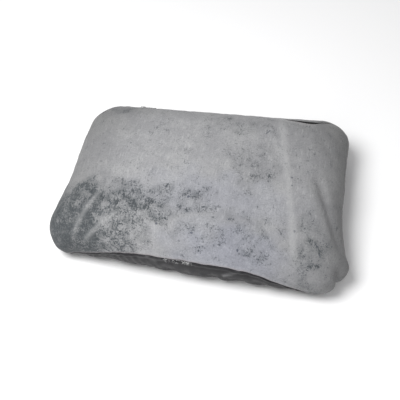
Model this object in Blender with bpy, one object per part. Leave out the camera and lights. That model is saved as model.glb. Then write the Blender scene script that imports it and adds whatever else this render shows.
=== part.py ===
"""Camp pillow: a zipped cover of two fabrics over a filled insert.

Metres, +Z up. The origin is the middle of the flat base, +X runs along the
length and +Y points at the rear edge, where the zip is. Every soft piece is
first placed on a plain rounded block and then settled, which pulls the
corners out and lets them slump. The rear edge stays straight between the two
ends of the zip run, so the slider has a straight track there.
"""
import math

import bmesh
import bpy
import numpy as np
from mathutils import Matrix, Vector

MM = 0.001

# Block: the pillow before it settles
LENGTH = 0.430
WIDTH = 0.302
TOP_HEIGHT = 0.099
WIDEST_HEIGHT = 0.045
UPPER_ROLL = 0.058
LOWER_ROLL = 0.031
CORNER_RADIUS = 0.042
TOP_CORNER_RADIUS = 0.008
BASE_CORNER_RADIUS = 0.023

# Settling: extra height in the middle and along the front, rear edge higher and
# further back at the right, right side pushed out, and the slumped corners
CROWN = 0.138
FRONT_LIFT = 0.039
REAR_TILT = 0.038
REAR_SKEW = 0.0095
RIGHT_SWELL = 0.0046
CALM_EDGE = 0.020
#          side of X, side of Y, pull along X, pull along Y, drop, starts at X
CORNERS = {
    "front_right": (1, -1, 0.0225, -0.0010, 0.23, 0.0),
    "rear_right": (1, 1, 0.0025, 0.0083, 0.07, 0.092),
    "rear_left": (-1, 1, 0.0, 0.0054, 0.145, 0.142),
    "front_left": (-1, -1, -0.0127, 0.0117, 0.14, 0.0),
}

# Fabrics and clearances
FACE_THICKNESS = 1.1 * MM
BACK_THICKNESS = 0.8 * MM
CASING_THICKNESS = 0.5 * MM
FIT_GAP = 0.4 * MM
SEAM_GAP = 0.6 * MM
HEM_WIDTH = 8.3 * MM

# Perimeter seam: angle up the edge at the front, where it dips round the front corners and on the sides
SEAM_FRONT = 10.8
SEAM_FRONT_RIGHT = -56.0
SEAM_FRONT_LEFT = -48.0
SEAM_SIDE = -14.0
SEAM_REAR = 0.0
SEAM_STRAIGHT = 0.39

# Zip: angle up the edge on the straight run, past its right end, round the corners and at its ends
ZIP_ANGLE = 38.0
ZIP_ANGLE_PEAK = 62.0
ZIP_ANGLE_RIGHT_CORNER = 43.0
ZIP_ANGLE_RIGHT_SIDE = 9.0
ZIP_ANGLE_LEFT_CORNER = 45.0
ZIP_ANGLE_END = 3.0
ZIP_RUN_RIGHT = 0.062
ZIP_RUN_LEFT = -0.140
ZIP_END_Y = 0.030
STOP_LENGTH = 6.0 * MM
END_CLOSE = 4.0 * MM

TAPE_DEPTH = 1.8 * MM
TAPE_THICKNESS = 0.6 * MM
POST_WIDTH = 1.6 * MM
COIL_WIDTH = 1.7 * MM
COIL_THICKNESS = 2.0 * MM
THREAD = 0.5 * MM
STITCH_INSET = 2.5 * MM

# Slider and pull
SLIDER_X = -0.128
SLIDER_LENGTH = 12.0 * MM
SLIDER_CLEARANCE = 0.45 * MM
PLATE_THICKNESS = 0.8 * MM
LIP_WIDTH = 1.2 * MM
POST_LENGTH = 4.5 * MM
BRIDGE_LENGTH = 8.0 * MM
BRIDGE_WIDTH = 1.8 * MM
BRIDGE_HEIGHT = 2.3 * MM
BRIDGE_THICKNESS = 0.85 * MM
PULL_LENGTH = 22.0 * MM
PULL_WIDTH = 8.0 * MM
PULL_THICKNESS = 0.7 * MM
PULL_GAP = 0.35 * MM
GRIP_HOLE_WIDTH = 3.4 * MM

# Care label, blank, on the back fabric inside the rear edge
LABEL_WIDTH = 0.040
LABEL_TOP_ANGLE = -4.0
LABEL_LOW_ANGLE = -24.0
LABEL_THICKNESS = 0.4 * MM

# Steps round the edge and up it
SIDE_POINTS = 4
SIDE_STEPS = 2 * SIDE_POINTS
PEAK_STEPS = 3
RUN_STEPS = 6
FRONT_STEPS = PEAK_STEPS + RUN_STEPS + 1
BAND_STEPS = 3
CORNER_STEPS = 2
FACE_ROWS = 5
BACK_ROWS = 3
CASING_ROWS = 4

# Depths below the outer surface, inner face of each layer last
BINDING_DEPTHS = (FACE_THICKNESS + FIT_GAP, FACE_THICKNESS + FIT_GAP + 0.9 * MM)
SEAM_THREAD_DEPTHS = (BINDING_DEPTHS[1] + FIT_GAP, BINDING_DEPTHS[1] + FIT_GAP + THREAD)
LABEL_DEPTHS = (BINDING_DEPTHS[1], BINDING_DEPTHS[1] + LABEL_THICKNESS)

# Half widths across the zip, measured from its centre line
COIL_INNER = 0.5 * POST_WIDTH + 0.3 * MM
COIL_OUTER = COIL_INNER + COIL_WIDTH
TAPE_INNER = COIL_OUTER + 0.3 * MM
LIP_INNER = COIL_OUTER + 0.7 * MM
SLIDER_HALF = LIP_INNER + LIP_WIDTH
SLOT_HALF = SLIDER_HALF + 0.5 * MM
CORNER_SLOT_HALF = COIL_OUTER + 0.4 * MM

# Slider heights, measured from the middle of the tape
PLATE_INNER = 0.5 * COIL_THICKNESS + SLIDER_CLEARANCE
LIP_FACE = 0.5 * TAPE_THICKNESS + SLIDER_CLEARANCE
PLATE_OUTER = PLATE_INNER + PLATE_THICKNESS

# The insert stays clear of the slider's lower plate, and its base rests on the back fabric
INSERT_INSET = TAPE_DEPTH + PLATE_OUTER + 1.0 * MM
INSERT_EXTRA_LOWER_ROLL = 6.0 * MM


def smooth(value):
    """0 below 0, 1 above 1, and an eased rise between."""
    t = np.clip(value, 0.0, 1.0)
    return t * t * (3.0 - 2.0 * t)


# ---- the block ----------------------------------------------------------

class Block:
    """A rounded block whose edge rolls in above and below its widest line."""

    def __init__(self, half_x, half_y, low, top, upper_roll, lower_roll, radius, top_radius, low_radius):
        self.half_x = half_x
        self.half_y = half_y
        self.low = low
        self.top = top
        self.upper_roll = upper_roll
        self.lower_roll = lower_roll
        self.radius = radius
        self.top_radius = top_radius
        self.low_radius = low_radius

    def edge(self, angle, depth, stations):
        """Points at an angle up the edge, depth below the surface, at every station."""
        turn = np.radians(np.broadcast_to(np.asarray(angle, float), stations.count))
        upper = turn > 0.0
        roll = np.where(upper, self.upper_roll, self.lower_roll)
        rise = np.where(upper, self.top - WIDEST_HEIGHT, WIDEST_HEIGHT - self.low)
        end_radius = np.where(upper, self.top_radius, self.low_radius)
        cos, sin = np.cos(turn), np.sin(turn)
        slope = np.hypot(rise * cos, roll * sin)
        out = rise * cos / slope
        up = roll * sin / slope
        inward = roll * (1.0 - cos)
        radius = self.radius + (end_radius - self.radius) * (1.0 - cos)
        centre = stations.corner_sign * np.stack(
            [self.half_x - inward - radius, self.half_y - inward - radius], axis=1)
        centre = np.where(stations.on_straight, stations.straight_point(centre), centre)
        flat = centre + (radius - depth * out)[:, None] * stations.normal
        height = WIDEST_HEIGHT + rise * sin - depth * up
        return np.column_stack([flat, height])

    def arc(self, angle):
        """Distance along the edge section for each degree at this angle."""
        turn = np.radians(np.asarray(angle, float))
        roll = np.where(turn > 0.0, self.upper_roll, self.lower_roll)
        rise = np.where(turn > 0.0, self.top - WIDEST_HEIGHT, WIDEST_HEIGHT - self.low)
        return np.hypot(roll * np.sin(turn), rise * np.cos(turn)) * math.pi / 180.0

    def inside(self, gap):
        """A block that is smaller all over by gap."""
        return Block(self.half_x - gap, self.half_y - gap, self.low + gap, self.top - gap,
                     self.upper_roll - gap, self.lower_roll - gap,
                     self.radius - gap, self.top_radius, self.low_radius)


class Stations:
    """The places round the edge, from the front right corner by way of the right side."""

    def __init__(self):
        straight_x = 0.5 * LENGTH - CORNER_RADIUS
        straight_y = 0.5 * WIDTH - CORNER_RADIUS
        side = np.concatenate([
            np.linspace(-straight_y, ZIP_END_Y - END_CLOSE, SIDE_POINTS),
            [ZIP_END_Y, ZIP_END_Y + STOP_LENGTH],
            np.linspace(ZIP_END_Y + STOP_LENGTH, straight_y, SIDE_POINTS)[1:]])
        rear = np.concatenate([
            np.linspace(straight_x, ZIP_RUN_RIGHT, PEAK_STEPS + 1),
            np.linspace(ZIP_RUN_RIGHT, ZIP_RUN_LEFT, RUN_STEPS + 1)[1:],
            [-straight_x]])
        front = np.linspace(-straight_x, straight_x, FRONT_STEPS + 1)
        runs = (side / straight_y, rear / straight_x, side[::-1] / straight_y, front / straight_x)
        signs = ((1, -1), (1, 1), (-1, 1), (-1, -1))
        corner, normal, share, straight = [], [], [], []
        self.side_starts = []
        for index, run in enumerate(runs):
            self.side_starts.append(len(corner))
            start_turn = (index - 1) * 90.0
            before = start_turn + 45.0 + 45.0 * np.arange(CORNER_STEPS) / CORNER_STEPS
            after = start_turn + 90.0 + 45.0 * np.arange(CORNER_STEPS) / CORNER_STEPS
            turns = np.concatenate([before, np.full(len(run) - 1, start_turn + 90.0), after])
            for step, turn in enumerate(turns):
                in_run = CORNER_STEPS <= step < CORNER_STEPS + len(run) - 1
                past = step >= CORNER_STEPS + len(run) - 1
                corner.append(signs[(index + 1) % 4] if past else signs[index])
                normal.append((math.cos(math.radians(turn)), math.sin(math.radians(turn))))
                straight.append((index % 2 == 0, index % 2 == 1) if in_run else (False, False))
                share.append(run[step - CORNER_STEPS] if in_run else 0.0)
        self.count = len(corner)
        self.corner_sign = np.array(corner, float)
        self.normal = np.array(normal, float)
        self.share = np.array(share, float)
        straight = np.array(straight)
        self.on_straight = np.stack([straight[:, 1], straight[:, 0]], axis=1)

    def straight_point(self, centre):
        """Centres on a straight stretch, moved along it to the station's own share."""
        return np.abs(centre) * self.share[:, None]

    def at(self, side, step):
        return self.side_starts[side] + CORNER_STEPS + step


STATIONS = Stations()
RIGHT, REAR, LEFT, FRONT = range(4)

COVER = Block(0.5 * LENGTH, 0.5 * WIDTH, 0.0, TOP_HEIGHT, UPPER_ROLL, LOWER_ROLL,
              CORNER_RADIUS, TOP_CORNER_RADIUS, BASE_CORNER_RADIUS)
INSERT = COVER.inside(INSERT_INSET)
INSERT.low = BACK_THICKNESS + FIT_GAP
INSERT.lower_roll += INSERT_EXTRA_LOWER_ROLL
FILLING = INSERT.inside(CASING_THICKNESS + FIT_GAP)


def settle(points):
    """Move points of the block to where the filled pillow has them."""
    half_x, half_y = 0.5 * LENGTH, 0.5 * WIDTH
    x, y, z = points[..., 0], points[..., 1], points[..., 2]
    rear = smooth(y / half_y)
    front = smooth(-y / half_y)
    along = np.clip(1.0 - (x / half_x) ** 2, 0.0, 1.0)
    calm_x = smooth((half_x - CALM_EDGE - np.abs(x)) / (half_x - CALM_EDGE))
    calm_y = smooth((half_y - CALM_EDGE - np.abs(y)) / (half_y - CALM_EDGE))
    lift = 1.0 + CROWN * calm_x * calm_y + REAR_TILT * rear * x / half_x + FRONT_LIFT * front * along
    move_x = RIGHT_SWELL * smooth(x / half_x) * calm_y
    move_y = REAR_SKEW * rear * x / half_x
    for side_x, side_y, pull_x, pull_y, drop, start in CORNERS.values():
        near = smooth((side_x * x - start) / (half_x - start)) * smooth(side_y * y / half_y)
        move_x = move_x + near * pull_x
        move_y = move_y + near * pull_y
        lift = lift - near * drop
    return np.stack([x + move_x, y + move_y, z * lift], axis=-1)


# ---- lines round the edge -----------------------------------------------

def keyed(keys):
    """A value at every station from (station, value) keys, eased between them."""
    stations = np.arange(STATIONS.count + 1)
    value = np.full(STATIONS.count + 1, float(keys[0][1]))
    for (start, first), (end, second) in zip(keys, keys[1:]):
        inside = (stations >= start) & (stations <= end)
        eased = first + (second - first) * smooth((stations - start) / (end - start))
        value = np.where(inside, eased, value)
    return value[:STATIONS.count]


def seam_line():
    """Angle of the perimeter seam at every station."""
    front_start = STATIONS.at(FRONT, 0)
    calm = round(0.5 * FRONT_STEPS * (1.0 - SEAM_STRAIGHT))
    return keyed([(0, SEAM_FRONT_RIGHT), (BINDING_STOP, SEAM_SIDE), (STATIONS.at(RIGHT, SIDE_STEPS), SEAM_SIDE),
                  (STATIONS.at(REAR, 0), SEAM_REAR), (RUN_STOP, SEAM_REAR),
                  (STATIONS.at(LEFT, 0), SEAM_SIDE), (BINDING_START, SEAM_SIDE),
                  (STATIONS.side_starts[FRONT], SEAM_FRONT_LEFT), (front_start + calm, SEAM_FRONT),
                  (front_start + FRONT_STEPS - calm, SEAM_FRONT), (STATIONS.count, SEAM_FRONT_RIGHT)])


BINDING_START = STATIONS.at(LEFT, SIDE_STEPS - SIDE_POINTS + 1)
BINDING_STOP = STATIONS.at(RIGHT, SIDE_POINTS - 1)
ZIP_START = STATIONS.at(RIGHT, SIDE_POINTS)
ZIP_STOP = STATIONS.at(LEFT, SIDE_STEPS - SIDE_POINTS)
RUN_START = STATIONS.at(REAR, PEAK_STEPS)
RUN_STOP = STATIONS.at(REAR, PEAK_STEPS + RUN_STEPS)
SEAM = seam_line()
ZIP = keyed([(0, ZIP_ANGLE_END), (ZIP_START, ZIP_ANGLE_END),
             (STATIONS.at(RIGHT, SIDE_STEPS), ZIP_ANGLE_RIGHT_SIDE),
             (STATIONS.side_starts[REAR], ZIP_ANGLE_RIGHT_CORNER), (STATIONS.at(REAR, 0), ZIP_ANGLE_PEAK),
             (RUN_START, ZIP_ANGLE), (RUN_STOP, ZIP_ANGLE),
             (STATIONS.side_starts[LEFT], ZIP_ANGLE_LEFT_CORNER), (ZIP_STOP, ZIP_ANGLE_END)])
SLOT = keyed([(0, CORNER_SLOT_HALF), (RUN_START - 1, CORNER_SLOT_HALF), (RUN_START, SLOT_HALF),
              (RUN_STOP, SLOT_HALF), (RUN_STOP + 1, CORNER_SLOT_HALF)])
IN_ZIP = (np.arange(STATIONS.count) >= ZIP_START) & (np.arange(STATIONS.count) <= ZIP_STOP)


def beside(line, distance):
    """The angles at a distance above a line of angles, measured along the fabric."""
    middle = line + 0.5 * distance / COVER.arc(line)
    return line + distance / COVER.arc(middle)


def zip_points(distance, depth):
    return COVER.edge(beside(ZIP, distance), depth, STATIONS)


# ---- mesh builders ------------------------------------------------------

def new_object(name, mesh_bm, material):
    mesh = bpy.data.meshes.new(name)
    mesh_bm.to_mesh(mesh)
    mesh_bm.free()
    mesh.materials.append(material)
    mesh.shade_smooth()
    mesh.set_sharp_from_angle(angle=math.radians(35.0))
    obj = bpy.data.objects.new(name, mesh)
    bpy.context.scene.collection.objects.link(obj)
    return obj


def add_rows(bm, rows):
    return [[bm.verts.new(point) for point in row] for row in rows]


def add_quad(bm, first, second, third, fourth):
    """Two triangles that share the diagonal from the first corner to the third."""
    bm.faces.new([first, second, third])
    bm.faces.new([first, third, fourth])


def bridge(bm, row_a, row_b):
    """Join two rings round the edge. Diagonals rise with the stations, as on every layer."""
    rising = row_b[0].co.z > row_a[0].co.z
    for index in range(len(row_a)):
        after = (index + 1) % len(row_a)
        if rising:
            add_quad(bm, row_a[index], row_a[after], row_b[after], row_b[index])
        else:
            add_quad(bm, row_b[index], row_a[index], row_a[after], row_b[after])


def cap_grid(ring):
    """Points of a grid that fills a ring of stations, by blending its four sides."""
    starts = STATIONS.side_starts + [STATIONS.count]
    sides = [np.take(ring, range(starts[k], starts[k + 1] + 1), axis=0, mode="wrap") for k in range(4)]
    right, rear, left, front = sides[0], sides[1][::-1], sides[2][::-1], sides[3]
    u = np.linspace(0.0, 1.0, len(front))[:, None, None]
    v = np.linspace(0.0, 1.0, len(right))[None, :, None]
    across = (1 - u) * left[None, :, :] + u * right[None, :, :]
    along = (1 - v) * front[:, None, :] + v * rear[:, None, :]
    corners = ((1 - u) * (1 - v) * left[0] + u * (1 - v) * right[0]
               + (1 - u) * v * left[-1] + u * v * right[-1])
    return across + along - corners


def add_cap(bm, ring_points, ring_verts):
    """Fill the last ring of a surface, using its own vertices along the border."""
    grid = cap_grid(ring_points)
    columns, rows = grid.shape[:2]
    starts = STATIONS.side_starts
    settled = settle(grid)
    table = {}
    for i in range(columns):
        table[i, 0] = ring_verts[(starts[FRONT] + i) % STATIONS.count]
        table[i, rows - 1] = ring_verts[starts[LEFT] - i]
    for j in range(rows):
        table[columns - 1, j] = ring_verts[j]
        table[0, j] = ring_verts[starts[FRONT] - j]
    for i in range(1, columns - 1):
        for j in range(1, rows - 1):
            table[i, j] = bm.verts.new(settled[i, j])
    for i in range(columns - 1):
        for j in range(rows - 1):
            add_quad(bm, table[i, j], table[i + 1, j], table[i + 1, j + 1], table[i, j + 1])


def add_skin(bm, block, angles, depth):
    """A surface from an edge line to the cap, and the vertices of its edge line."""
    rings = [block.edge(row, depth, STATIONS) for row in angles]
    rows = add_rows(bm, [settle(ring) for ring in rings])
    for row_a, row_b in zip(rows, rows[1:]):
        bridge(bm, row_a, row_b)
    add_cap(bm, rings[-1], rows[-1])
    return rows[0]


def panel(name, block, angles, thickness, material):
    """A fabric panel: an outer skin, an inner skin and the rim between them."""
    bm = bmesh.new()
    outer = add_skin(bm, block, angles, 0.0)
    inner = add_skin(bm, block, angles, thickness)
    bridge(bm, outer, inner)
    bmesh.ops.recalc_face_normals(bm, faces=bm.faces)
    return new_object(name, bm, material)


def strip(name, lines, first, last, material):
    """A closed strip that follows lines round the edge between two stations.

    The lines are the corners of its section. Stations may lie between whole ones.
    """
    settled = [settle(line) for line in lines]
    heights = [line[:, 2].mean() for line in lines]
    places = [first] + list(range(math.floor(first) + 1, math.ceil(last))) + [last]
    bm = bmesh.new()
    rows = []
    for place in places:
        low = math.floor(place)
        near, far = low % STATIONS.count, (low + 1) % STATIONS.count
        rows.append([bm.verts.new(line[near] + (line[far] - line[near]) * (place - low)) for line in settled])
    for here, there in zip(rows, rows[1:]):
        for corner in range(len(lines)):
            after = (corner + 1) % len(lines)
            if heights[after] > heights[corner]:
                add_quad(bm, here[corner], there[corner], there[after], here[after])
            else:
                add_quad(bm, here[after], here[corner], there[corner], there[after])
    bm.faces.new(rows[0])
    bm.faces.new(rows[-1])
    bmesh.ops.recalc_face_normals(bm, faces=bm.faces)
    return new_object(name, bm, material)


def edge_lines(outline):
    """The lines of a section outline given as (angles, depth) pairs."""
    return [COVER.edge(angles, depth, STATIONS) for angles, depth in outline]


def zip_lines(outline):
    """The lines of a section outline given as (distance from the zip line, depth) pairs."""
    return [zip_points(distance, depth) for distance, depth in outline]


def box(name, low, high, material):
    bm = bmesh.new()
    bmesh.ops.create_cube(bm, size=1.0)
    low, high = Vector(low), Vector(high)
    bmesh.ops.scale(bm, vec=high - low, verts=bm.verts)
    bmesh.ops.translate(bm, vec=0.5 * (low + high), verts=bm.verts)
    return new_object(name, bm, material)


def extruded(name, outline, start, length, axes, material):
    """A flat outline extruded: axes names the outline's two axes and the extrusion's."""
    bm = bmesh.new()
    verts = []
    for first, second in outline:
        place = [0.0, 0.0, 0.0]
        place[axes[0]] = first
        place[axes[1]] = second
        place[axes[2]] = start
        verts.append(bm.verts.new(place))
    face = bm.faces.new(verts)
    sweep = [0.0, 0.0, 0.0]
    sweep[axes[2]] = length
    made = bmesh.ops.extrude_face_region(bm, geom=[face])
    bmesh.ops.translate(bm, vec=sweep, verts=[v for v in made["geom"] if isinstance(v, bmesh.types.BMVert)])
    bmesh.ops.recalc_face_normals(bm, faces=bm.faces)
    return new_object(name, bm, material)


def combine(target, tool, operation):
    """Keep the tool as a hidden cutter or joiner of the target."""
    tool.hide_render = True
    tool.display_type = "WIRE"
    tool.parent = target
    modifier = target.modifiers.new(tool.name, "BOOLEAN")
    modifier.operation = operation
    modifier.object = tool


def soften(target, width):
    bevel = target.modifiers.new("soft edges", "BEVEL")
    bevel.width = width
    bevel.segments = 1
    bevel.limit_method = "ANGLE"
    bevel.angle_limit = math.radians(40.0)


def material(name, colour, roughness, metallic=0.0):
    made = bpy.data.materials.new(name)
    made.use_nodes = True
    shader = made.node_tree.nodes["Principled BSDF"]
    shader.inputs["Base Color"].default_value = (*colour, 1.0)
    shader.inputs["Roughness"].default_value = roughness
    shader.inputs["Metallic"].default_value = metallic
    made.diffuse_color = (*colour, 1.0)
    return made


# ---- sub-parts ----------------------------------------------------------

def rows_to(edge, hem, end, count):
    """Rows of angles from an edge line over its hem to the end angle."""
    turned = beside(edge, hem)
    return [edge] + [turned + (end - turned) * step / count for step in range(count + 1)]


def make_cover(face_fabric, back_fabric, binding_cloth):
    seam_up = beside(SEAM, 0.5 * SEAM_GAP)
    seam_down = beside(SEAM, -0.5 * SEAM_GAP)
    face_edge = np.where(IN_ZIP, beside(ZIP, SLOT), seam_up)
    panel("face_panel", COVER, rows_to(face_edge, HEM_WIDTH, 90.0, FACE_ROWS), FACE_THICKNESS, face_fabric)
    panel("back_panel", COVER, rows_to(seam_down, -HEM_WIDTH, -90.0, BACK_ROWS), BACK_THICKNESS, back_fabric)

    band_top = beside(ZIP, -SLOT)
    band_hem = np.maximum(beside(band_top, -HEM_WIDTH), 0.5 * (band_top + seam_up))
    rows = [seam_up + (band_hem - seam_up) * step / BAND_STEPS for step in range(BAND_STEPS + 1)] + [band_top]
    outline = [(row, 0.0) for row in rows] + [(row, FACE_THICKNESS) for row in reversed(rows)]
    strip("rear_band", edge_lines(outline), ZIP_START, ZIP_STOP, face_fabric)

    top, low = beside(SEAM, HEM_WIDTH), beside(SEAM, -HEM_WIDTH)
    near, far = BINDING_DEPTHS
    outline = [(top, near), (SEAM, near), (low, near), (low, far), (SEAM, far), (top, far)]
    strip("seam_binding", edge_lines(outline), BINDING_START, STATIONS.count + BINDING_STOP, binding_cloth)


def make_zip(tape_cloth, coil_nylon, stop_metal):
    tape_top = TAPE_DEPTH - 0.5 * TAPE_THICKNESS
    tape_low = TAPE_DEPTH + 0.5 * TAPE_THICKNESS
    coil_top = TAPE_DEPTH - 0.5 * COIL_THICKNESS
    coil_low = TAPE_DEPTH + 0.5 * COIL_THICKNESS
    bevel = 0.3 * COIL_WIDTH
    stop_gap = 0.1
    coil_start, coil_stop = ZIP_START + 1, ZIP_STOP - 1
    for side, sign in (("upper", 1), ("lower", -1)):
        hidden = SLOT + HEM_WIDTH
        if sign < 0:
            room = (ZIP - beside(SEAM, SEAM_GAP)) * COVER.arc(0.5 * ZIP) - FIT_GAP
            hidden = np.minimum(hidden, room)
        outline = [(sign * TAPE_INNER, tape_top), (sign * hidden, tape_top),
                   (sign * hidden, tape_low), (sign * TAPE_INNER, tape_low)]
        strip(f"zip_tape_{side}", zip_lines(outline), ZIP_START, ZIP_STOP, tape_cloth)
        outline = [(sign * COIL_INNER, coil_top + bevel), (sign * (COIL_INNER + bevel), coil_top),
                   (sign * COIL_OUTER, coil_top), (sign * COIL_OUTER, coil_low),
                   (sign * (COIL_INNER + bevel), coil_low), (sign * COIL_INNER, coil_low - bevel)]
        strip(f"zip_coil_{side}", zip_lines(outline), coil_start, coil_stop, coil_nylon)
        outline = [(sign * COIL_INNER, coil_top), (sign * COIL_OUTER, coil_top),
                   (sign * COIL_OUTER, coil_low), (sign * COIL_INNER, coil_low)]
        strip(f"zip_top_stop_{side}", zip_lines(outline), coil_stop + stop_gap, ZIP_STOP - stop_gap, stop_metal)
    outline = [(-COIL_OUTER, coil_top), (COIL_OUTER, coil_top), (COIL_OUTER, coil_low), (-COIL_OUTER, coil_low)]
    strip("zip_bottom_stop", zip_lines(outline), ZIP_START + stop_gap, coil_start - stop_gap, stop_metal)


def make_stitching(thread_cloth):
    above, below = -FIT_GAP - THREAD, -FIT_GAP
    for name, sign in (("topstitch_face", 1), ("topstitch_band", -1)):
        near = sign * (SLOT + STITCH_INSET)
        far = near + sign * THREAD
        outline = [(near, above), (far, above), (far, below), (near, below)]
        strip(name, zip_lines(outline), ZIP_START, ZIP_STOP, thread_cloth)
    near, far = SEAM_THREAD_DEPTHS
    top, low = beside(SEAM, 0.5 * THREAD), beside(SEAM, -0.5 * THREAD)
    outline = [(top, near), (low, near), (low, far), (top, far)]
    strip("seam_stitching", edge_lines(outline), BINDING_START, STATIONS.count + BINDING_STOP, thread_cloth)


def make_label(label_cloth):
    near, far = LABEL_DEPTHS
    outline = [(LABEL_TOP_ANGLE, near), (LABEL_LOW_ANGLE, near), (LABEL_LOW_ANGLE, far), (LABEL_TOP_ANGLE, far)]
    middle = STATIONS.at(REAR, PEAK_STEPS + RUN_STEPS // 2)
    step = (ZIP_RUN_RIGHT - ZIP_RUN_LEFT) / RUN_STEPS
    half = 0.5 * LABEL_WIDTH / step
    strip("care_label", edge_lines(outline), middle - half, middle + half, label_cloth)


def make_insert(casing_cloth, filling_foam):
    seam = 0.5 * SEAM_GAP / INSERT.arc(0.0)
    upper = [seam + (90.0 - seam) * step / CASING_ROWS for step in range(CASING_ROWS + 1)]
    lower = [-angle for angle in upper]
    panel("insert_casing_top", INSERT, upper, CASING_THICKNESS, casing_cloth)
    panel("insert_casing_base", INSERT, lower, CASING_THICKNESS, casing_cloth)
    bm = bmesh.new()
    top_edge = add_skin(bm, FILLING, upper, 0.0)
    base_edge = add_skin(bm, FILLING, lower, 0.0)
    bridge(bm, top_edge, base_edge)
    bmesh.ops.recalc_face_normals(bm, faces=bm.faces)
    new_object("filling", bm, filling_foam)


def zip_frame():
    """The slider's place: along the run, down the fabric and out of it, with its origin on the zip line."""
    line = settle(zip_points(0.0, TAPE_DEPTH))
    above = settle(zip_points(SLIDER_HALF, TAPE_DEPTH))
    below = settle(zip_points(-SLIDER_HALF, TAPE_DEPTH))
    right, left = Vector(line[RUN_START]), Vector(line[RUN_STOP])
    along = (right - left).normalized()
    origin = left + along * ((SLIDER_X - left.x) / along.x)
    across = Vector(below[RUN_STOP]) - Vector(above[RUN_STOP])
    across = (across - along * across.dot(along)).normalized()
    outward = along.cross(across)
    frame = Matrix((along, across, outward)).transposed().to_4x4()
    frame.translation = origin
    return frame


def make_slider(cast_metal):
    """Two lipped plates joined by a post, with the bridge that holds the pull."""
    half = 0.5 * SLIDER_LENGTH
    plates = []
    for name, sign in (("zip_slider", 1.0), ("slider_lower_plate", -1.0)):
        outline = [(-SLIDER_HALF, sign * LIP_FACE), (-SLIDER_HALF, sign * PLATE_OUTER),
                   (SLIDER_HALF, sign * PLATE_OUTER), (SLIDER_HALF, sign * LIP_FACE),
                   (LIP_INNER, sign * LIP_FACE), (LIP_INNER, sign * PLATE_INNER),
                   (-LIP_INNER, sign * PLATE_INNER), (-LIP_INNER, sign * LIP_FACE)]
        plates.append(extruded(name, outline, -half, SLIDER_LENGTH, (1, 2, 0), cast_metal))
    slider, lower_plate = plates
    overlap = 0.4 * PLATE_THICKNESS
    post_end = 0.3 * MM - half
    post = box("slider_post", (post_end, -0.5 * POST_WIDTH, -PLATE_INNER - overlap),
               (post_end + POST_LENGTH, 0.5 * POST_WIDTH, PLATE_INNER + overlap), cast_metal)
    reach = 0.5 * BRIDGE_LENGTH
    foot = PLATE_OUTER - overlap
    top = PLATE_OUTER + BRIDGE_HEIGHT
    corner = 0.8 * MM
    outline = [(-reach, foot), (-reach, top - corner), (corner - reach, top), (reach - corner, top),
               (reach, top - corner), (reach, foot), (reach - BRIDGE_THICKNESS, foot),
               (reach - BRIDGE_THICKNESS, top - BRIDGE_THICKNESS),
               (BRIDGE_THICKNESS - reach, top - BRIDGE_THICKNESS), (BRIDGE_THICKNESS - reach, foot)]
    arch = extruded("slider_bridge", outline, -0.5 * BRIDGE_WIDTH, BRIDGE_WIDTH, (0, 2, 1), cast_metal)
    for joiner in (post, lower_plate, arch):
        combine(slider, joiner, "UNION")
    soften(slider, 0.2 * MM)
    slider.matrix_world = zip_frame()
    return slider


def make_pull(slider, cast_metal):
    """A flat pull whose bar turns in the slider's bridge. Its origin is on the bar."""
    bar_height = PLATE_OUTER + PULL_GAP + 0.5 * PULL_THICKNESS
    bar_reach = 0.5 * PULL_THICKNESS
    half = 0.5 * PULL_WIDTH
    taper = 0.35 * half
    outline = [(-bar_reach, -half + taper), (-bar_reach, half - taper), (0.25 * PULL_LENGTH, half),
               (PULL_LENGTH - taper, half), (PULL_LENGTH, half - taper), (PULL_LENGTH, taper - half),
               (PULL_LENGTH - taper, -half), (0.25 * PULL_LENGTH, -half)]
    pull = extruded("zip_pull", outline, -0.5 * PULL_THICKNESS, PULL_THICKNESS, (0, 1, 2), cast_metal)
    bridge_reach = math.hypot(0.5 * BRIDGE_LENGTH, BRIDGE_HEIGHT) + PULL_GAP
    side = 0.5 * BRIDGE_WIDTH + PULL_GAP
    window = box("pull_window", (bar_reach, -side, -half), (bridge_reach, side, half), cast_metal)
    grip_start = bridge_reach + 0.35 * PULL_WIDTH
    grip = box("pull_grip_hole", (grip_start, -0.5 * GRIP_HOLE_WIDTH, -half),
               (PULL_LENGTH - 0.4 * PULL_WIDTH, 0.5 * GRIP_HOLE_WIDTH, half), cast_metal)
    for cutter in (window, grip):
        combine(pull, cutter, "DIFFERENCE")
    soften(pull, 0.12 * MM)
    pull.parent = slider
    pull.location = (0.0, 0.0, bar_height)
    return pull


def main():
    for obj in list(bpy.data.objects):
        bpy.data.objects.remove(obj, do_unlink=True)
    face_fabric = material("brushed light grey fabric", (0.36, 0.36, 0.37), 0.9)
    back_fabric = material("dark grey shell fabric", (0.045, 0.045, 0.055), 0.55)
    binding_cloth = material("grey seam binding", (0.12, 0.12, 0.13), 0.8)
    zip_cloth = material("black zip tape", (0.012, 0.012, 0.013), 0.75)
    coil_nylon = material("black nylon coil", (0.015, 0.015, 0.016), 0.35)
    zip_metal = material("black zip hardware", (0.03, 0.03, 0.032), 0.35, metallic=0.6)
    thread_cloth = material("grey sewing thread", (0.30, 0.30, 0.31), 0.7)
    label_cloth = material("white label tape", (0.75, 0.75, 0.73), 0.7)
    casing_cloth = material("white insert casing", (0.70, 0.70, 0.69), 0.75)
    filling_foam = material("cream foam filling", (0.72, 0.66, 0.50), 0.95)

    make_cover(face_fabric, back_fabric, binding_cloth)
    make_zip(zip_cloth, coil_nylon, zip_metal)
    make_stitching(thread_cloth)
    make_label(label_cloth)
    make_insert(casing_cloth, filling_foam)
    slider = make_slider(zip_metal)
    make_pull(slider, zip_metal)


main()
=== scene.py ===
"""Camp pillow: the looks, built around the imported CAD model.

Metres, in the CAD's frame: +Z up, +X along the length, +Y at the rear edge with
the zip. The cover is the CAD's own block, settled in the same way, with finer
steps, folds and sewn edges. Everything on the cover is placed by a station on
the way round the edge, an angle up the edge and a depth below the surface.
"""
import math

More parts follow.
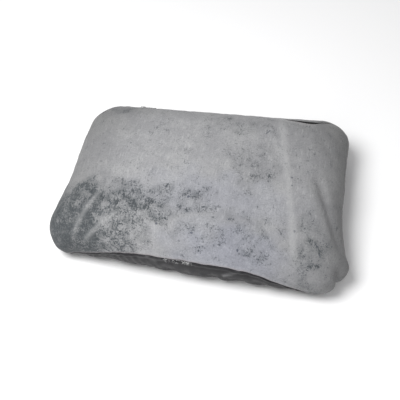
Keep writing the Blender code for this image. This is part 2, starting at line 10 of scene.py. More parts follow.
import bmesh
import bpy
import numpy as np
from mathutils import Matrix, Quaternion, Vector
from mathutils.kdtree import KDTree


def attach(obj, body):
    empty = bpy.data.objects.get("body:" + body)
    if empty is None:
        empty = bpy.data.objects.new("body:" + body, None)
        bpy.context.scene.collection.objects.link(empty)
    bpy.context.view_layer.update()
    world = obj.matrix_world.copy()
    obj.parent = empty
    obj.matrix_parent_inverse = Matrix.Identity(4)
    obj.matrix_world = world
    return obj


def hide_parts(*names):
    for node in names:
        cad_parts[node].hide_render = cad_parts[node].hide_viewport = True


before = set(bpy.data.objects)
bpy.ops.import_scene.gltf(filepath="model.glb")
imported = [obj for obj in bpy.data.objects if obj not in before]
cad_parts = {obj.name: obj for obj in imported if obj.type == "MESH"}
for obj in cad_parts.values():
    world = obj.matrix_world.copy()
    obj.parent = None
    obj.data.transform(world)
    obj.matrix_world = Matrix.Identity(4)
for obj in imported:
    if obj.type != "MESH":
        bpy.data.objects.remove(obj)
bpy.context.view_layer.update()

MM = 0.001

# ---- the block, as in the CAD -------------------------------------------

LENGTH = 0.430
WIDTH = 0.302
TOP_HEIGHT = 0.099
WIDEST_HEIGHT = 0.045
UPPER_ROLL = 0.058
LOWER_ROLL = 0.031
CORNER_RADIUS = 0.042
TOP_CORNER_RADIUS = 0.008
BASE_CORNER_RADIUS = 0.023
CROWN = 0.138
FRONT_LIFT = 0.039
REAR_TILT = 0.038
REAR_SKEW = 0.0095
RIGHT_SWELL = 0.0046
CALM_EDGE = 0.020
#    side of X, side of Y, pull along X, pull along Y, drop, starts at X
CORNERS = (
    (1, -1, 0.0225, -0.0010, 0.23, 0.0),
    (1, 1, 0.0025, 0.0083, 0.07, 0.092),
    (-1, 1, 0.0, 0.0054, 0.145, 0.142),
    (-1, -1, -0.0127, 0.0117, 0.14, 0.0),
)

FACE_THICKNESS = 1.1 * MM
BACK_THICKNESS = 0.8 * MM
CASING_THICKNESS = 0.5 * MM
FIT_GAP = 0.4 * MM
SEAM_GAP = 0.6 * MM
HEM_WIDTH = 8.3 * MM

SEAM_FRONT = 10.8
SEAM_FRONT_RIGHT = -56.0
SEAM_FRONT_LEFT = -48.0
SEAM_SIDE = -14.0
SEAM_REAR = 0.0
SEAM_STRAIGHT = 0.39
ZIP_ANGLE = 38.0
ZIP_ANGLE_PEAK = 62.0
ZIP_ANGLE_RIGHT_CORNER = 43.0
ZIP_ANGLE_RIGHT_SIDE = 9.0
ZIP_ANGLE_LEFT_CORNER = 45.0
ZIP_ANGLE_END = 3.0
ZIP_RUN_RIGHT = 0.062
ZIP_RUN_LEFT = -0.140
ZIP_END_Y = 0.030
STOP_LENGTH = 6.0 * MM
END_CLOSE = 4.0 * MM
TAPE_DEPTH = 1.8 * MM
TAPE_THICKNESS = 0.6 * MM
COIL_THICKNESS = 2.0 * MM
THREAD = 0.5 * MM
STITCH_INSET = 2.5 * MM
LABEL_WIDTH = 0.040
LABEL_THICKNESS = 0.3 * MM
LABEL_TOP_ANGLE = -4.0
LABEL_LOW_ANGLE = -24.0
BINDING_DEPTH = FACE_THICKNESS + FIT_GAP
BINDING_THICKNESS = 0.9 * MM
COIL_INNER = 1.1 * MM
COIL_OUTER = 2.8 * MM
TAPE_INNER = 3.1 * MM
SLOT_HALF = 5.2 * MM
CORNER_SLOT_HALF = 3.2 * MM
INSERT_INSET = 5.05 * MM
INSERT_EXTRA_LOWER_ROLL = 6.0 * MM

# CAD stations on each straight side, and how many steps each half corner takes
SIDE_POINTS = 4
SIDE_STEPS = 2 * SIDE_POINTS
PEAK_STEPS = 3
RUN_STEPS = 6
FRONT_STEPS = PEAK_STEPS + RUN_STEPS + 1
CORNER_STEPS = 2
STRAIGHT_X = 0.5 * LENGTH - CORNER_RADIUS
STRAIGHT_Y = 0.5 * WIDTH - CORNER_RADIUS
SIDE_RUN = np.concatenate([
    np.linspace(-STRAIGHT_Y, ZIP_END_Y - END_CLOSE, SIDE_POINTS),
    [ZIP_END_Y, ZIP_END_Y + STOP_LENGTH],
    np.linspace(ZIP_END_Y + STOP_LENGTH, STRAIGHT_Y, SIDE_POINTS)[1:]]) / STRAIGHT_Y
REAR_RUN = np.concatenate([
    np.linspace(STRAIGHT_X, ZIP_RUN_RIGHT, PEAK_STEPS + 1),
    np.linspace(ZIP_RUN_RIGHT, ZIP_RUN_LEFT, RUN_STEPS + 1)[1:],
    [-STRAIGHT_X]]) / STRAIGHT_X
RUNS = (SIDE_RUN, REAR_RUN, SIDE_RUN[::-1], np.linspace(-1.0, 1.0, FRONT_STEPS + 1))
SIGNS = ((1, -1), (1, 1), (-1, 1), (-1, -1))
RIGHT, REAR, LEFT, FRONT = range(4)
SIDE_STARTS = np.concatenate([[0], np.cumsum([len(run) - 1 + 2 * CORNER_STEPS for run in RUNS])])
STATION_COUNT = int(SIDE_STARTS[-1])

# Fineness of the surfaces
LONG_STEPS = 168
SHORT_STEPS = 116
ROLL_ROWS = 26
UNDER_ROWS = 12
BAND_ROWS = 12


def smooth(value):
    """0 below 0, 1 above 1, and an eased rise between."""
    t = np.clip(value, 0.0, 1.0)
    return t * t * (3.0 - 2.0 * t)


def bell(value):
    """1 at 0, falling away on both sides."""
    return np.exp(-0.5 * np.square(value))


class Ring:
    """Places round the edge, each given by the CAD's station number or a point between two."""

    def __init__(self, stations):
        self.stations = np.asarray(stations, float)
        wrapped = self.stations % STATION_COUNT
        self.count = len(wrapped)
        turn = np.zeros(self.count)
        self.corner_sign = np.zeros((self.count, 2))
        self.share = np.ones((self.count, 2))
        for side, run in enumerate(RUNS):
            here = (wrapped >= SIDE_STARTS[side]) & (wrapped < SIDE_STARTS[side + 1])
            step = wrapped - SIDE_STARTS[side] - CORNER_STEPS
            steps = len(run) - 1
            over = np.where(step < 0.0, step, np.maximum(step - steps, 0.0))
            turn = np.where(here, side * 90.0 + 45.0 * over / CORNER_STEPS, turn)
            past = here & (step >= steps)
            self.corner_sign[here] = SIGNS[side]
            self.corner_sign[past] = SIGNS[(side + 1) % 4]
            on_run = here & (step >= 0.0) & (step < steps)
            axis = 1 if side in (RIGHT, LEFT) else 0
            share = np.interp(step, np.arange(steps + 1), run)
            self.share[on_run, axis] = share[on_run] * self.corner_sign[on_run, axis]
        radians = np.radians(turn)
        self.normal = np.stack([np.cos(radians), np.sin(radians)], axis=1)


def station(side, step):
    """The CAD's station number of a step along a side."""
    return float(SIDE_STARTS[side] + CORNER_STEPS + step)


class Block:
    """A rounded block whose edge rolls in above and below its widest line."""

    def __init__(self, half_x, half_y, low, top, rolls, radii):
        self.half_x, self.half_y = half_x, half_y
        self.low, self.top = low, top
        self.upper_roll, self.lower_roll = rolls
        self.radius, self.top_radius, self.low_radius = radii

    def edge(self, angle, depth, ring):
        """Points at an angle up the edge, depth below the surface, at every place of a ring."""
        turn = np.radians(np.broadcast_to(np.asarray(angle, float), ring.count))
        upper = turn > 0.0
        roll = np.where(upper, self.upper_roll, self.lower_roll)
        rise = np.where(upper, self.top - WIDEST_HEIGHT, WIDEST_HEIGHT - self.low)
        end_radius = np.where(upper, self.top_radius, self.low_radius)
        cos, sin = np.cos(turn), np.sin(turn)
        slope = np.hypot(rise * cos, roll * sin)
        out = rise * cos / slope
        up = roll * sin / slope
        inward = roll * (1.0 - cos)
        radius = self.radius + (end_radius - self.radius) * (1.0 - cos)
        centre = ring.corner_sign * ring.share * np.stack(
            [self.half_x - inward - radius, self.half_y - inward - radius], axis=1)
        flat = centre + (radius - depth * out)[:, None] * ring.normal
        height = WIDEST_HEIGHT + rise * sin - depth * up
        return np.column_stack([flat, height])

    def arc(self, angle):
        """Distance along the edge section for each degree at this angle."""
        turn = np.radians(np.asarray(angle, float))
        roll = np.where(turn > 0.0, self.upper_roll, self.lower_roll)
        rise = np.where(turn > 0.0, self.top - WIDEST_HEIGHT, WIDEST_HEIGHT - self.low)
        return np.hypot(roll * np.sin(turn), rise * np.cos(turn)) * math.pi / 180.0

    def inside(self, gap):
        return Block(self.half_x - gap, self.half_y - gap, self.low + gap, self.top - gap,
                     (self.upper_roll - gap, self.lower_roll - gap),
                     (self.radius - gap, self.top_radius, self.low_radius))


COVER = Block(0.5 * LENGTH, 0.5 * WIDTH, 0.0, TOP_HEIGHT, (UPPER_ROLL, LOWER_ROLL),
              (CORNER_RADIUS, TOP_CORNER_RADIUS, BASE_CORNER_RADIUS))
INSERT = COVER.inside(INSERT_INSET)
INSERT.low = BACK_THICKNESS + FIT_GAP
INSERT.lower_roll += INSERT_EXTRA_LOWER_ROLL
FILLING = INSERT.inside(CASING_THICKNESS + FIT_GAP)


def settle(points):
    """Move points of the block to where the filled pillow has them."""
    half_x, half_y = 0.5 * LENGTH, 0.5 * WIDTH
    x, y, z = points[..., 0], points[..., 1], points[..., 2]
    rear = smooth(y / half_y)
    front = smooth(-y / half_y)
    along = np.clip(1.0 - (x / half_x) ** 2, 0.0, 1.0)
    calm_x = smooth((half_x - CALM_EDGE - np.abs(x)) / (half_x - CALM_EDGE))
    calm_y = smooth((half_y - CALM_EDGE - np.abs(y)) / (half_y - CALM_EDGE))
    lift = 1.0 + CROWN * calm_x * calm_y + REAR_TILT * rear * x / half_x + FRONT_LIFT * front * along
    move_x = RIGHT_SWELL * smooth(x / half_x) * calm_y
    move_y = REAR_SKEW * rear * x / half_x
    for side_x, side_y, pull_x, pull_y, drop, start in CORNERS:
        near = smooth((side_x * x - start) / (half_x - start)) * smooth(side_y * y / half_y)
        move_x = move_x + near * pull_x
        move_y = move_y + near * pull_y
        lift = lift - near * drop
    return np.stack([x + move_x, y + move_y, z * lift], axis=-1)


# ---- lines round the edge -----------------------------------------------

def keyed(keys, stations):
    """A value at every station from (station, value) keys, eased between them."""
    value = np.full(len(stations), float(keys[0][1]))
    for (start, first), (end, second) in zip(keys, keys[1:]):
        eased = first + (second - first) * smooth((stations - start) / (end - start))
        value = np.where(stations >= start, eased, value)
    return value


BINDING_START = station(LEFT, SIDE_STEPS - SIDE_POINTS + 1)
BINDING_STOP = station(RIGHT, SIDE_POINTS - 1)
ZIP_START = station(RIGHT, SIDE_POINTS)
ZIP_STOP = station(LEFT, SIDE_STEPS - SIDE_POINTS)
RUN_START = station(REAR, PEAK_STEPS)
RUN_STOP = station(REAR, PEAK_STEPS + RUN_STEPS)
CLOSING = 1.5 * MM


def seam_angle(ring):
    """Angle of the perimeter seam, with the slight waver of a sewn edge."""
    calm = round(0.5 * FRONT_STEPS * (1.0 - SEAM_STRAIGHT))
    stations = ring.stations % STATION_COUNT
    line = keyed([(0, SEAM_FRONT_RIGHT), (BINDING_STOP, SEAM_SIDE), (station(RIGHT, SIDE_STEPS), SEAM_SIDE),
                  (station(REAR, 0), SEAM_REAR), (RUN_STOP, SEAM_REAR),
                  (station(LEFT, 0), SEAM_SIDE), (BINDING_START, SEAM_SIDE),
                  (SIDE_STARTS[FRONT], SEAM_FRONT_LEFT), (station(FRONT, calm), SEAM_FRONT),
                  (station(FRONT, FRONT_STEPS - calm), SEAM_FRONT), (STATION_COUNT, SEAM_FRONT_RIGHT)],
                 stations)
    waver = 0.55 * np.sin(stations * 4.1) + 0.35 * np.sin(stations * 9.7 + 1.3)
    return line + waver * smooth((stations - BINDING_START) / 3.0)


def zip_angle(ring):
    """Angle of the middle of the zip."""
    return keyed([(0, ZIP_ANGLE_END), (ZIP_START, ZIP_ANGLE_END),
                  (station(RIGHT, SIDE_STEPS), ZIP_ANGLE_RIGHT_SIDE),
                  (SIDE_STARTS[REAR], ZIP_ANGLE_RIGHT_CORNER), (station(REAR, 0), ZIP_ANGLE_PEAK),
                  (RUN_START, ZIP_ANGLE), (RUN_STOP, ZIP_ANGLE),
                  (SIDE_STARTS[LEFT], ZIP_ANGLE_LEFT_CORNER), (ZIP_STOP, ZIP_ANGLE_END)],
                 ring.stations % STATION_COUNT)


def slot_half(ring):
    """Half the width of the slot in which the zip lies, before it closes or gapes."""
    return keyed([(0, CORNER_SLOT_HALF), (RUN_START - 1, CORNER_SLOT_HALF), (RUN_START, SLOT_HALF),
                  (RUN_STOP, SLOT_HALF), (RUN_STOP + 1, CORNER_SLOT_HALF)], ring.stations % STATION_COUNT)


def gape(ring):
    """How far the slot stands open: widest where the rear right corner pulls on it."""
    stations = ring.stations % STATION_COUNT
    right = bell((stations - station(REAR, 0.15)) / 0.95)
    left = 0.25 * bell((stations - SIDE_STARTS[LEFT] - 0.4) / 0.6)
    return right + left


def closing(ring):
    """How far the fabric's edges close over the zip where it leaves its straight run."""
    stations = ring.stations % STATION_COUNT
    right = smooth(stations - ZIP_START - 1.0) * smooth(SIDE_STARTS[REAR] + 0.7 - stations)
    left = smooth(stations - RUN_STOP - 0.3) * smooth(ZIP_STOP - 1.0 - stations)
    left = left * (1.0 - bell((stations - SIDE_STARTS[LEFT] - 0.4) / 0.5))
    return (right + left) * CLOSING


def zip_share(ring):
    """1 along the zip, closing to 0 within one station past its ends."""
    stations = ring.stations % STATION_COUNT
    return np.clip(np.minimum(stations - ZIP_START + 1.0, ZIP_STOP + 1.0 - stations), 0.0, 1.0)


def beside(line, distance):
    """The angles at a distance above a line of angles, measured along the fabric."""
    middle = line + 0.5 * distance / COVER.arc(line)
    return line + distance / COVER.arc(middle)


def travel(points):
    """Distance travelled along a line of points, at each of them."""
    return np.concatenate([[0.0], np.cumsum(np.linalg.norm(np.diff(points, axis=0), axis=1))])


def places(at, travelled, line):
    """Points of a line at the given distances along it."""
    return np.stack([np.interp(at, travelled, line[:, axis]) for axis in range(3)], axis=1)


def from_segment(points, start, end):
    """Distance from each point to a straight piece of line."""
    start, end = np.array(start), np.array(end)
    along = end - start
    share = np.clip((points - start) @ along / (along @ along), 0.0, 1.0)
    return np.linalg.norm(points - start - share[..., None] * along, axis=-1)


# ---- folds ----------------------------------------------------------------

PUCKER_PITCH = 12.0 * MM
WRINKLE_START = (0.056, -0.152, 0.036)
WRINKLE_END = (0.078, -0.148, 0.052)
RUN_RING = Ring([RUN_START, RUN_STOP])
RUN_ENDS = settle(COVER.edge(zip_angle(RUN_RING), TAPE_DEPTH, RUN_RING))

# Straight folds seen from above: where on the cover, start, end, height and width
FOLDS = (
    # the pressed crease that crosses the face near its right end
    ("face", (0.103, 0.128), (0.155, -0.140), 0.7 * MM, 6.5 * MM),
    ("face", (0.118, 0.125), (0.169, -0.135), -0.4 * MM, 4.5 * MM),
    # the drag fold that runs down to the front right corner, and the tuck below it
    ("face", (0.177, 0.008), (0.219, -0.096), -4.6 * MM, 5.5 * MM),
    ("face", (0.160, -0.004), (0.205, -0.104), 2.2 * MM, 8.5 * MM),
    ("edge", (0.192, -0.104), (0.246, -0.149), -9.0 * MM, 6.0 * MM),
    # folds across the front left corner
    ("face", (-0.163, -0.143), (-0.114, -0.104), 0.9 * MM, 2.6 * MM),
    ("face", (-0.158, -0.146), (-0.108, -0.110), -0.6 * MM, 3.0 * MM),
    ("face", (-0.178, -0.136), (-0.148, -0.068), 0.7 * MM, 3.2 * MM),
)

# Fullness at the corners, with the ear of the front right one first: centre, height and spread
EARS = (
    ((0.236, -0.108, 0.041), 4.6 * MM, 9.0 * MM),
    ((0.192, -0.150, 0.036), 2.0 * MM, 13.0 * MM),
    ((-0.203, -0.134, 0.022), 5.0 * MM, 13.0 * MM),
    ((0.212, 0.130, 0.056), 2.4 * MM, 15.0 * MM),
)


def line_fold(points, start, end, height, width):
    """A soft straight fold seen from above, fading at both ends."""
    start, end = np.array(start), np.array(end)
    along = end - start
    length = np.linalg.norm(along)
    along = along / length
    rel = points[..., :2] - start
    share = rel @ along / length
    across = rel @ np.array([-along[1], along[0]])
    return height * bell(across / width) * smooth((share + 0.15) / 0.3) * smooth((1.15 - share) / 0.3)


def ripple(points, wavelength, seed):
    """Smooth unevenness between about -1 and 1, from a few waves in fixed chance directions."""
    chance = np.random.default_rng(seed)
    total = np.zeros(points.shape[:-1])
    waves = 9
    for _ in range(waves):
        direction = chance.normal(size=3)
        direction *= (0.7 + 0.6 * chance.random()) / np.linalg.norm(direction)
        phase = chance.random() * 2.0 * math.pi
        total = total + np.sin(points @ direction * 2.0 * math.pi / wavelength + phase)
    return total / math.sqrt(waves * 0.5) / 1.6


def from_wrinkle(points):
    """Distance to the sharp wrinkle across the front of the back panel."""
    return from_segment(points, WRINKLE_START, WRINKLE_END)


def folds(points):
    """How far the cover stands proud of the plain block at each place."""
    x, y, z = points[..., 0], points[..., 1], points[..., 2]
    shown = {"face": smooth((z - 0.035) / 0.03), "edge": smooth((0.064 - z) / 0.020)}
    height = 0.5 * MM * ripple(points, 0.075, 3) + 0.22 * MM * ripple(points, 0.028, 4)
    for where, start, end, rise, width in FOLDS:
        height = height + shown[where] * line_fold(points, start, end, rise, width)
    for centre, amount, spread in EARS:
        away = np.linalg.norm(points - np.array(centre), axis=-1)
        height = height + amount * bell(away / spread)
    # the back panel is slacker under the left half of the front, where it puckers, and has one sharp wrinkle
    front = smooth((-y - 0.10) / 0.03)
    slack = bell((x + 0.085) / 0.045) * front * bell((z - 0.016) / 0.016)
    puckers = np.sin(2.0 * math.pi * (x + 0.3 * z) / PUCKER_PITCH) * bell((x + 0.092) / 0.026) * front
    height = height - 2.4 * MM * slack + 0.7 * MM * puckers * bell((z - 0.036) / 0.012) + cloth_offset(points)
    height = height + 1.3 * MM * bell(from_wrinkle(points) / (2.2 * MM))
    return height * (1.0 - near_run(points))


# How far apart simulated points may lie and still be averaged evenly, and how many are averaged
NEAR_ENOUGH = 2.0 * MM
NEAR_POINTS = 5


class Cloth:
    """The wrinkles found by the cloth simulation: where its points lay and how far each moved out."""
    tree = None
    offsets = None


def cloth_offset(points):
    """How far the simulated cloth stands out at each place, from the nearest simulated points."""
    if Cloth.tree is None:
        return np.zeros(points.shape[:-1])
    flat = points.reshape(-1, 3)
    total = np.empty(len(flat))
    for index, point in enumerate(flat):
        found = Cloth.tree.find_n(point, NEAR_POINTS)
        weights = [1.0 / (away * away + NEAR_ENOUGH ** 2) for _, _, away in found]
        total[index] = sum(weight * Cloth.offsets[which] for weight, (_, which, _) in zip(weights, found))
        total[index] /= sum(weights)
    return total.reshape(points.shape[:-1])


def near_run(points):
    """1 beside the slider's straight track, which stays as the CAD has it."""
    return 1.0 - smooth((from_segment(points, *RUN_ENDS) - 12.0 * MM) / (16.0 * MM))


def cover_points(ring, angle, depth, proud=0.0, block=COVER):
    """Settled points on the cover with its folds; proud adds a piece's own relief."""
    base = settle(block.edge(angle, 0.0, ring))
    points = settle(block.edge(angle, depth - folds(base) - proud, ring))
    points[:, 2] = np.maximum(points[:, 2], block.low + max(depth, 0.0))
    return points


# ---- meshes ---------------------------------------------------------------

def even_stations(first, last, spacing, angle=20.0):
    """Stations from first to last at even steps along the fabric."""
    fine = np.linspace(first, last, max(int((last - first) * 24), 8))
    ring = Ring(fine)
    points = settle(COVER.edge(angle, 0.0, ring))
    travelled = travel(points)
    steps = max(int(round(travelled[-1] / spacing)), 2)
    return np.interp(np.linspace(0.0, travelled[-1], steps + 1), travelled, fine)


def closed_ring(long_steps, short_steps):
    """A ring right round the edge, with the same number of places on opposite sides."""
    stations = []
    for side, steps in enumerate((short_steps, long_steps, short_steps, long_steps)):
        first, last = float(SIDE_STARTS[side]), float(SIDE_STARTS[side + 1]) - 1e-9
        fine = np.linspace(first, last, 500)
        points = settle(COVER.edge(50.0, 0.0, Ring(fine)))
        travelled = travel(points)
        even = np.linspace(0.0, travelled[-1], steps + 1)[:-1]
        stations.append(np.interp(even, travelled, fine))
    ring = Ring(np.concatenate(stations))
    ring.starts = np.cumsum([0, short_steps, long_steps, short_steps, long_steps])
    return ring


def cap_grid(ring, points):
    """Points of a grid that fills a ring, by blending its four sides."""
    sides = [np.take(points, range(ring.starts[k], ring.starts[k + 1] + 1), axis=0, mode="wrap")
             for k in range(4)]
    right, rear, left, front = sides[0], sides[1][::-1], sides[2][::-1], sides[3]
    u = np.linspace(0.0, 1.0, len(front))[:, None, None]
    v = np.linspace(0.0, 1.0, len(right))[None, :, None]
    across = (1 - u) * left[None, :, :] + u * right[None, :, :]
    along = (1 - v) * front[:, None, :] + v * rear[:, None, :]
    corners = ((1 - u) * (1 - v) * left[0] + u * (1 - v) * right[0]
               + (1 - u) * v * left[-1] + u * v * right[-1])
    return across + along - corners


def cap_faces(ring, row_start, inner_start, columns, rows):
    """Quads of a cap whose border is a row of the mesh and whose inner points follow inner_start."""
    table = np.zeros((columns, rows), int)
    places = ring.starts
    for i in range(columns):
        table[i, 0] = row_start + (places[FRONT] + i) % ring.count
        table[i, rows - 1] = row_start + places[LEFT] - i
    for j in range(rows):
        table[columns - 1, j] = row_start + j
        table[0, j] = row_start + places[FRONT] - j
    table[1:-1, 1:-1] = inner_start + np.arange((columns - 2) * (rows - 2)).reshape(columns - 2, rows - 2)
    a, b, c, d = table[:-1, :-1], table[1:, :-1], table[1:, 1:], table[:-1, 1:]
    return np.stack([a, b, c, d], axis=-1).reshape(-1, 4)


def make_mesh(name, points, faces, material, ends=()):
    mesh = bpy.data.meshes.new(name)
    mesh.from_pydata(points.tolist(), [], [list(map(int, face)) for face in faces] + list(ends))
    bm = bmesh.new()
    bm.from_mesh(mesh)
    bmesh.ops.recalc_face_normals(bm, faces=bm.faces)
    bm.to_mesh(mesh)
    bm.free()
    mesh.shade_smooth()
    mesh.materials.append(material)
    obj = bpy.data.objects.new(name, mesh)
    bpy.context.scene.collection.objects.link(obj)
    return obj


class Shell:
    """Rows of points right round the edge, closed by a cap at each end of the rows."""

    def __init__(self, ring, block=COVER):
        self.ring = ring
        self.block = block
        self.points = []
        self.faces = []
        self.marks = []
        self.count = 0
        self.last_row = None

    def row(self, angle, depth, proud=0.0, mark=0.0):
        """Add a row and join it to the row before. Its mark is stored for the hem's lighter thread colour."""
        self.points.append(cover_points(self.ring, angle, depth, proud, self.block))
        self.marks.append(np.full(self.ring.count, mark))
        here = self.count
        self.count += self.ring.count
        if self.last_row is not None:
            place = np.arange(self.ring.count)
            after = (place + 1) % self.ring.count
            below = self.last_row
            self.faces.append(np.stack([below + place, below + after, here + after, here + place], axis=1))
        self.last_row = here
        return here

    def cap(self, angle, depth, row_start):
        """Fill a row with a grid that follows the top or the base of the block."""
        flat = cap_grid(self.ring, self.block.edge(angle, 0.0, self.ring))
        columns, rows = flat.shape[:2]
        direction = math.copysign(1.0, angle)
        lifted = flat.copy()
        lifted[..., 2] += direction * (folds(settle(flat)) - depth)
        inner = settle(lifted)[1:-1, 1:-1].reshape(-1, 3)
        inner[:, 2] = np.maximum(inner[:, 2], self.block.low + depth)
        self.faces.append(cap_faces(self.ring, row_start, self.count, columns, rows))
        self.points.append(inner)
        self.marks.append(np.zeros(len(inner)))
        self.count += len(inner)

    def closed_rows(self, rows):
        """Rows from a list of (angle, depth, proud), with a cap on the first and on the last."""
        for index, (angle, depth, proud) in enumerate(rows):
            start = self.row(angle, depth, proud)
            if index in (0, len(rows) - 1):
                self.cap(angle, depth, start)

    def build(self, name, material):
        obj = make_mesh(name, np.concatenate(self.points), np.concatenate(self.faces), material)
        hem = obj.data.attributes.new("hem", "FLOAT", "POINT")
        hem.data.foreach_set("value", np.concatenate(self.marks).astype(np.float32))
        return obj


def loft_faces(rows):
    """Quads and the two ends of a body whose rows go round its section, with columns along it."""
    around, along = rows.shape[:2]
    index = np.arange(around * along).reshape(around, along)
    after = np.roll(index, -1, axis=0)
    quads = np.stack([index[:, :-1], index[:, 1:], after[:, 1:], after[:, :-1]], axis=-1).reshape(-1, 4)
    return quads, [index[:, 0].tolist(), index[::-1, -1].tolist()]


def lofted(name, rows, material):
    """A closed body through rows of points."""
    rows = np.stack(rows)
    quads, ends = loft_faces(rows)
    return make_mesh(name, rows.reshape(-1, 3), quads, material, ends)


def section_strip(name, ring, section, material):
    """A closed strip along an open ring. The section lists (angles, depth, proud) round its outline."""
    rows = [cover_points(ring, angle, depth, proud) for angle, depth, proud in section]
    return lofted(name, rows, material)


def tube_rows(path, radius, side_axis, sides=6):
    """Rows of points round a path; side_axis is never along the path. Radius may vary."""
    tangent = np.gradient(path, axis=0)
    tangent /= np.linalg.norm(tangent, axis=1)[:, None]
    first = np.cross(tangent, side_axis)
    first /= np.linalg.norm(first, axis=1)[:, None]
    second = np.cross(tangent, first)
    radius = np.broadcast_to(radius, len(path))[:, None]
    turns = np.arange(sides) * 2.0 * math.pi / sides
    return np.stack([path + radius * (math.cos(t) * first + math.sin(t) * second) for t in turns])


def join_meshes(name, parts, material):
    """One object from several (points, faces) lists."""
    points, faces, count = [], [], 0
    for part_points, part_faces in parts:
        points.append(part_points)
        faces.extend([[index + count for index in face] for face in part_faces])
        count += len(part_points)
    return make_mesh(name, np.concatenate(points), faces, material)


def tube_part(path, radius, side_axis, sides=6):
    """Points and faces of a closed tube, for join_meshes."""
    rows = tube_rows(path, radius, side_axis, sides)
    quads, ends = loft_faces(rows)
    return rows.reshape(-1, 3), quads.tolist() + ends


def dress(piece, node):
    """A piece of the cover that stands for a CAD node and carries a material slot."""
    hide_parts(node)
    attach(piece, "cover")


# ---- cloth simulation -------------------------------------------------------

CLOTH_LONG_STEPS = 92
CLOTH_SHORT_STEPS = 62
CLOTH_ROWS = 40
CLOTH_FRAMES = 18
CLOTH_SETTINGS = {
    "quality": 7,
    "mass": 0.12,
    "tension_stiffness": 12.0,
    "compression_stiffness": 12.0,
    "shear_stiffness": 6.0,
    "bending_stiffness": 0.08,
    "vertex_group_mass": "held",
    "shrink_min": -0.045,
    "use_pressure": True,
    "uniform_pressure_force": 3.0,
}
HELD_WIDTH = 4.0 * MM
HELD_HEIGHT = 3.0 * MM
SEWN_PLACES = 700
SMOOTH_ROUNDS = 60
WRINKLE_LIMIT = 3.2 * MM
FACE_LOOSENESS = 0.30


def point_tree(points):
    """A tree that finds the nearest of some points."""
    tree = KDTree(len(points))
    for index, point in enumerate(points):
        tree.insert(point, index)
    tree.balance()
    return tree


def simulate_cloth():
    """Blow up a slightly loose cover, held at its seam, its zip and its base, and keep its wrinkles."""
    shell = Shell(closed_ring(CLOTH_LONG_STEPS, CLOTH_SHORT_STEPS))
    shell.closed_rows([(angle, 0.0, 0.0) for angle in np.linspace(-90.0, 90.0, CLOTH_ROWS + 1)])
    trial = shell.build("cloth_trial", None)
    rest = vertex_points(trial.data)
    ring = Ring(np.linspace(0.0, STATION_COUNT - 0.01, SEWN_PLACES))
    seam, zip_course = [settle(COVER.edge(line, 0.0, ring)) for line in (seam_angle(ring), zip_angle(ring))]
    sewn_tree = point_tree(np.concatenate([seam, zip_course]))
    away = np.array([sewn_tree.find(point)[2] for point in rest])
    held = (away < HELD_WIDTH) | (rest[:, 2] < HELD_HEIGHT) | (near_run(rest) > 0.3)
    group = trial.vertex_groups.new(name="held")
    group.add([int(index) for index in np.flatnonzero(held)], 1.0, "REPLACE")
    settings = trial.modifiers.new("cloth", "CLOTH").settings
    for name, value in CLOTH_SETTINGS.items():
        setattr(settings, name, value)
    settings.effector_weights.gravity = 0.0
    scene = bpy.context.scene
    scene.frame_start = 1
    scene.frame_end = CLOTH_FRAMES
    for frame_number in range(1, CLOTH_FRAMES + 1):
        scene.frame_set(frame_number)
    moved = vertex_points(trial.evaluated_get(bpy.context.evaluated_depsgraph_get()).data)
    normals = np.empty(len(rest) * 3)
    trial.data.vertices.foreach_get("normal", normals)
    out = np.sum((moved - rest) * normals.reshape(-1, 3), axis=1)
    edges = np.empty(len(trial.data.edges) * 2, int)
    trial.data.edges.foreach_get("vertices", edges)
    wrinkle = out - spread_out(out, edges.reshape(-1, 2), SMOOTH_ROUNDS)
    # the brushed face is stiffer than the shell cloth, and the zip's tapes hold the fabric beside them flat
    zip_tree = point_tree(zip_course)
    beyond = np.array([zip_tree.find(point)[2] for point in rest])
    upper = smooth((rest[:, 2] - seam[seam_nearest(rest, seam), 2] + 6.0 * MM) / (12.0 * MM))
    loose = 1.0 + (FACE_LOOSENESS - 1.0) * upper
    loose = loose * smooth((beyond - 6.0 * MM) / (22.0 * MM)) * smooth((rest[:, 2] - 2.0 * MM) / (14.0 * MM))
    Cloth.offsets = loose * WRINKLE_LIMIT * np.tanh(wrinkle / WRINKLE_LIMIT)
    Cloth.tree = point_tree(rest)
    scene.frame_set(1)
    bpy.data.objects.remove(trial, do_unlink=True)


def seam_nearest(points, line):
    """For each point, which place of a line lies nearest as seen from above."""
    gaps = points[:, None, :2] - line[None, :, :2]
    return np.argmin(np.sum(gaps * gaps, axis=2), axis=1)


def vertex_points(mesh):
    """The places of a mesh's vertices, one per row."""
    points = np.empty(len(mesh.vertices) * 3)
    mesh.vertices.foreach_get("co", points)
    return points.reshape(-1, 3)


def spread_out(values, edges, rounds):
    """Values averaged with their neighbours, several times over."""
    for _ in range(rounds):
        total = values.copy()
        count = np.ones(len(values))
        for first, second in ((0, 1), (1, 0)):
            np.add.at(total, edges[:, first], values[edges[:, second]])
            np.add.at(count, edges[:, first], 1.0)
        values = total / count
    return values


# ---- materials --------------------------------------------------------------

# About the distance between the bands of a wave texture of scale 1
WAVE_SPACING = 0.31831


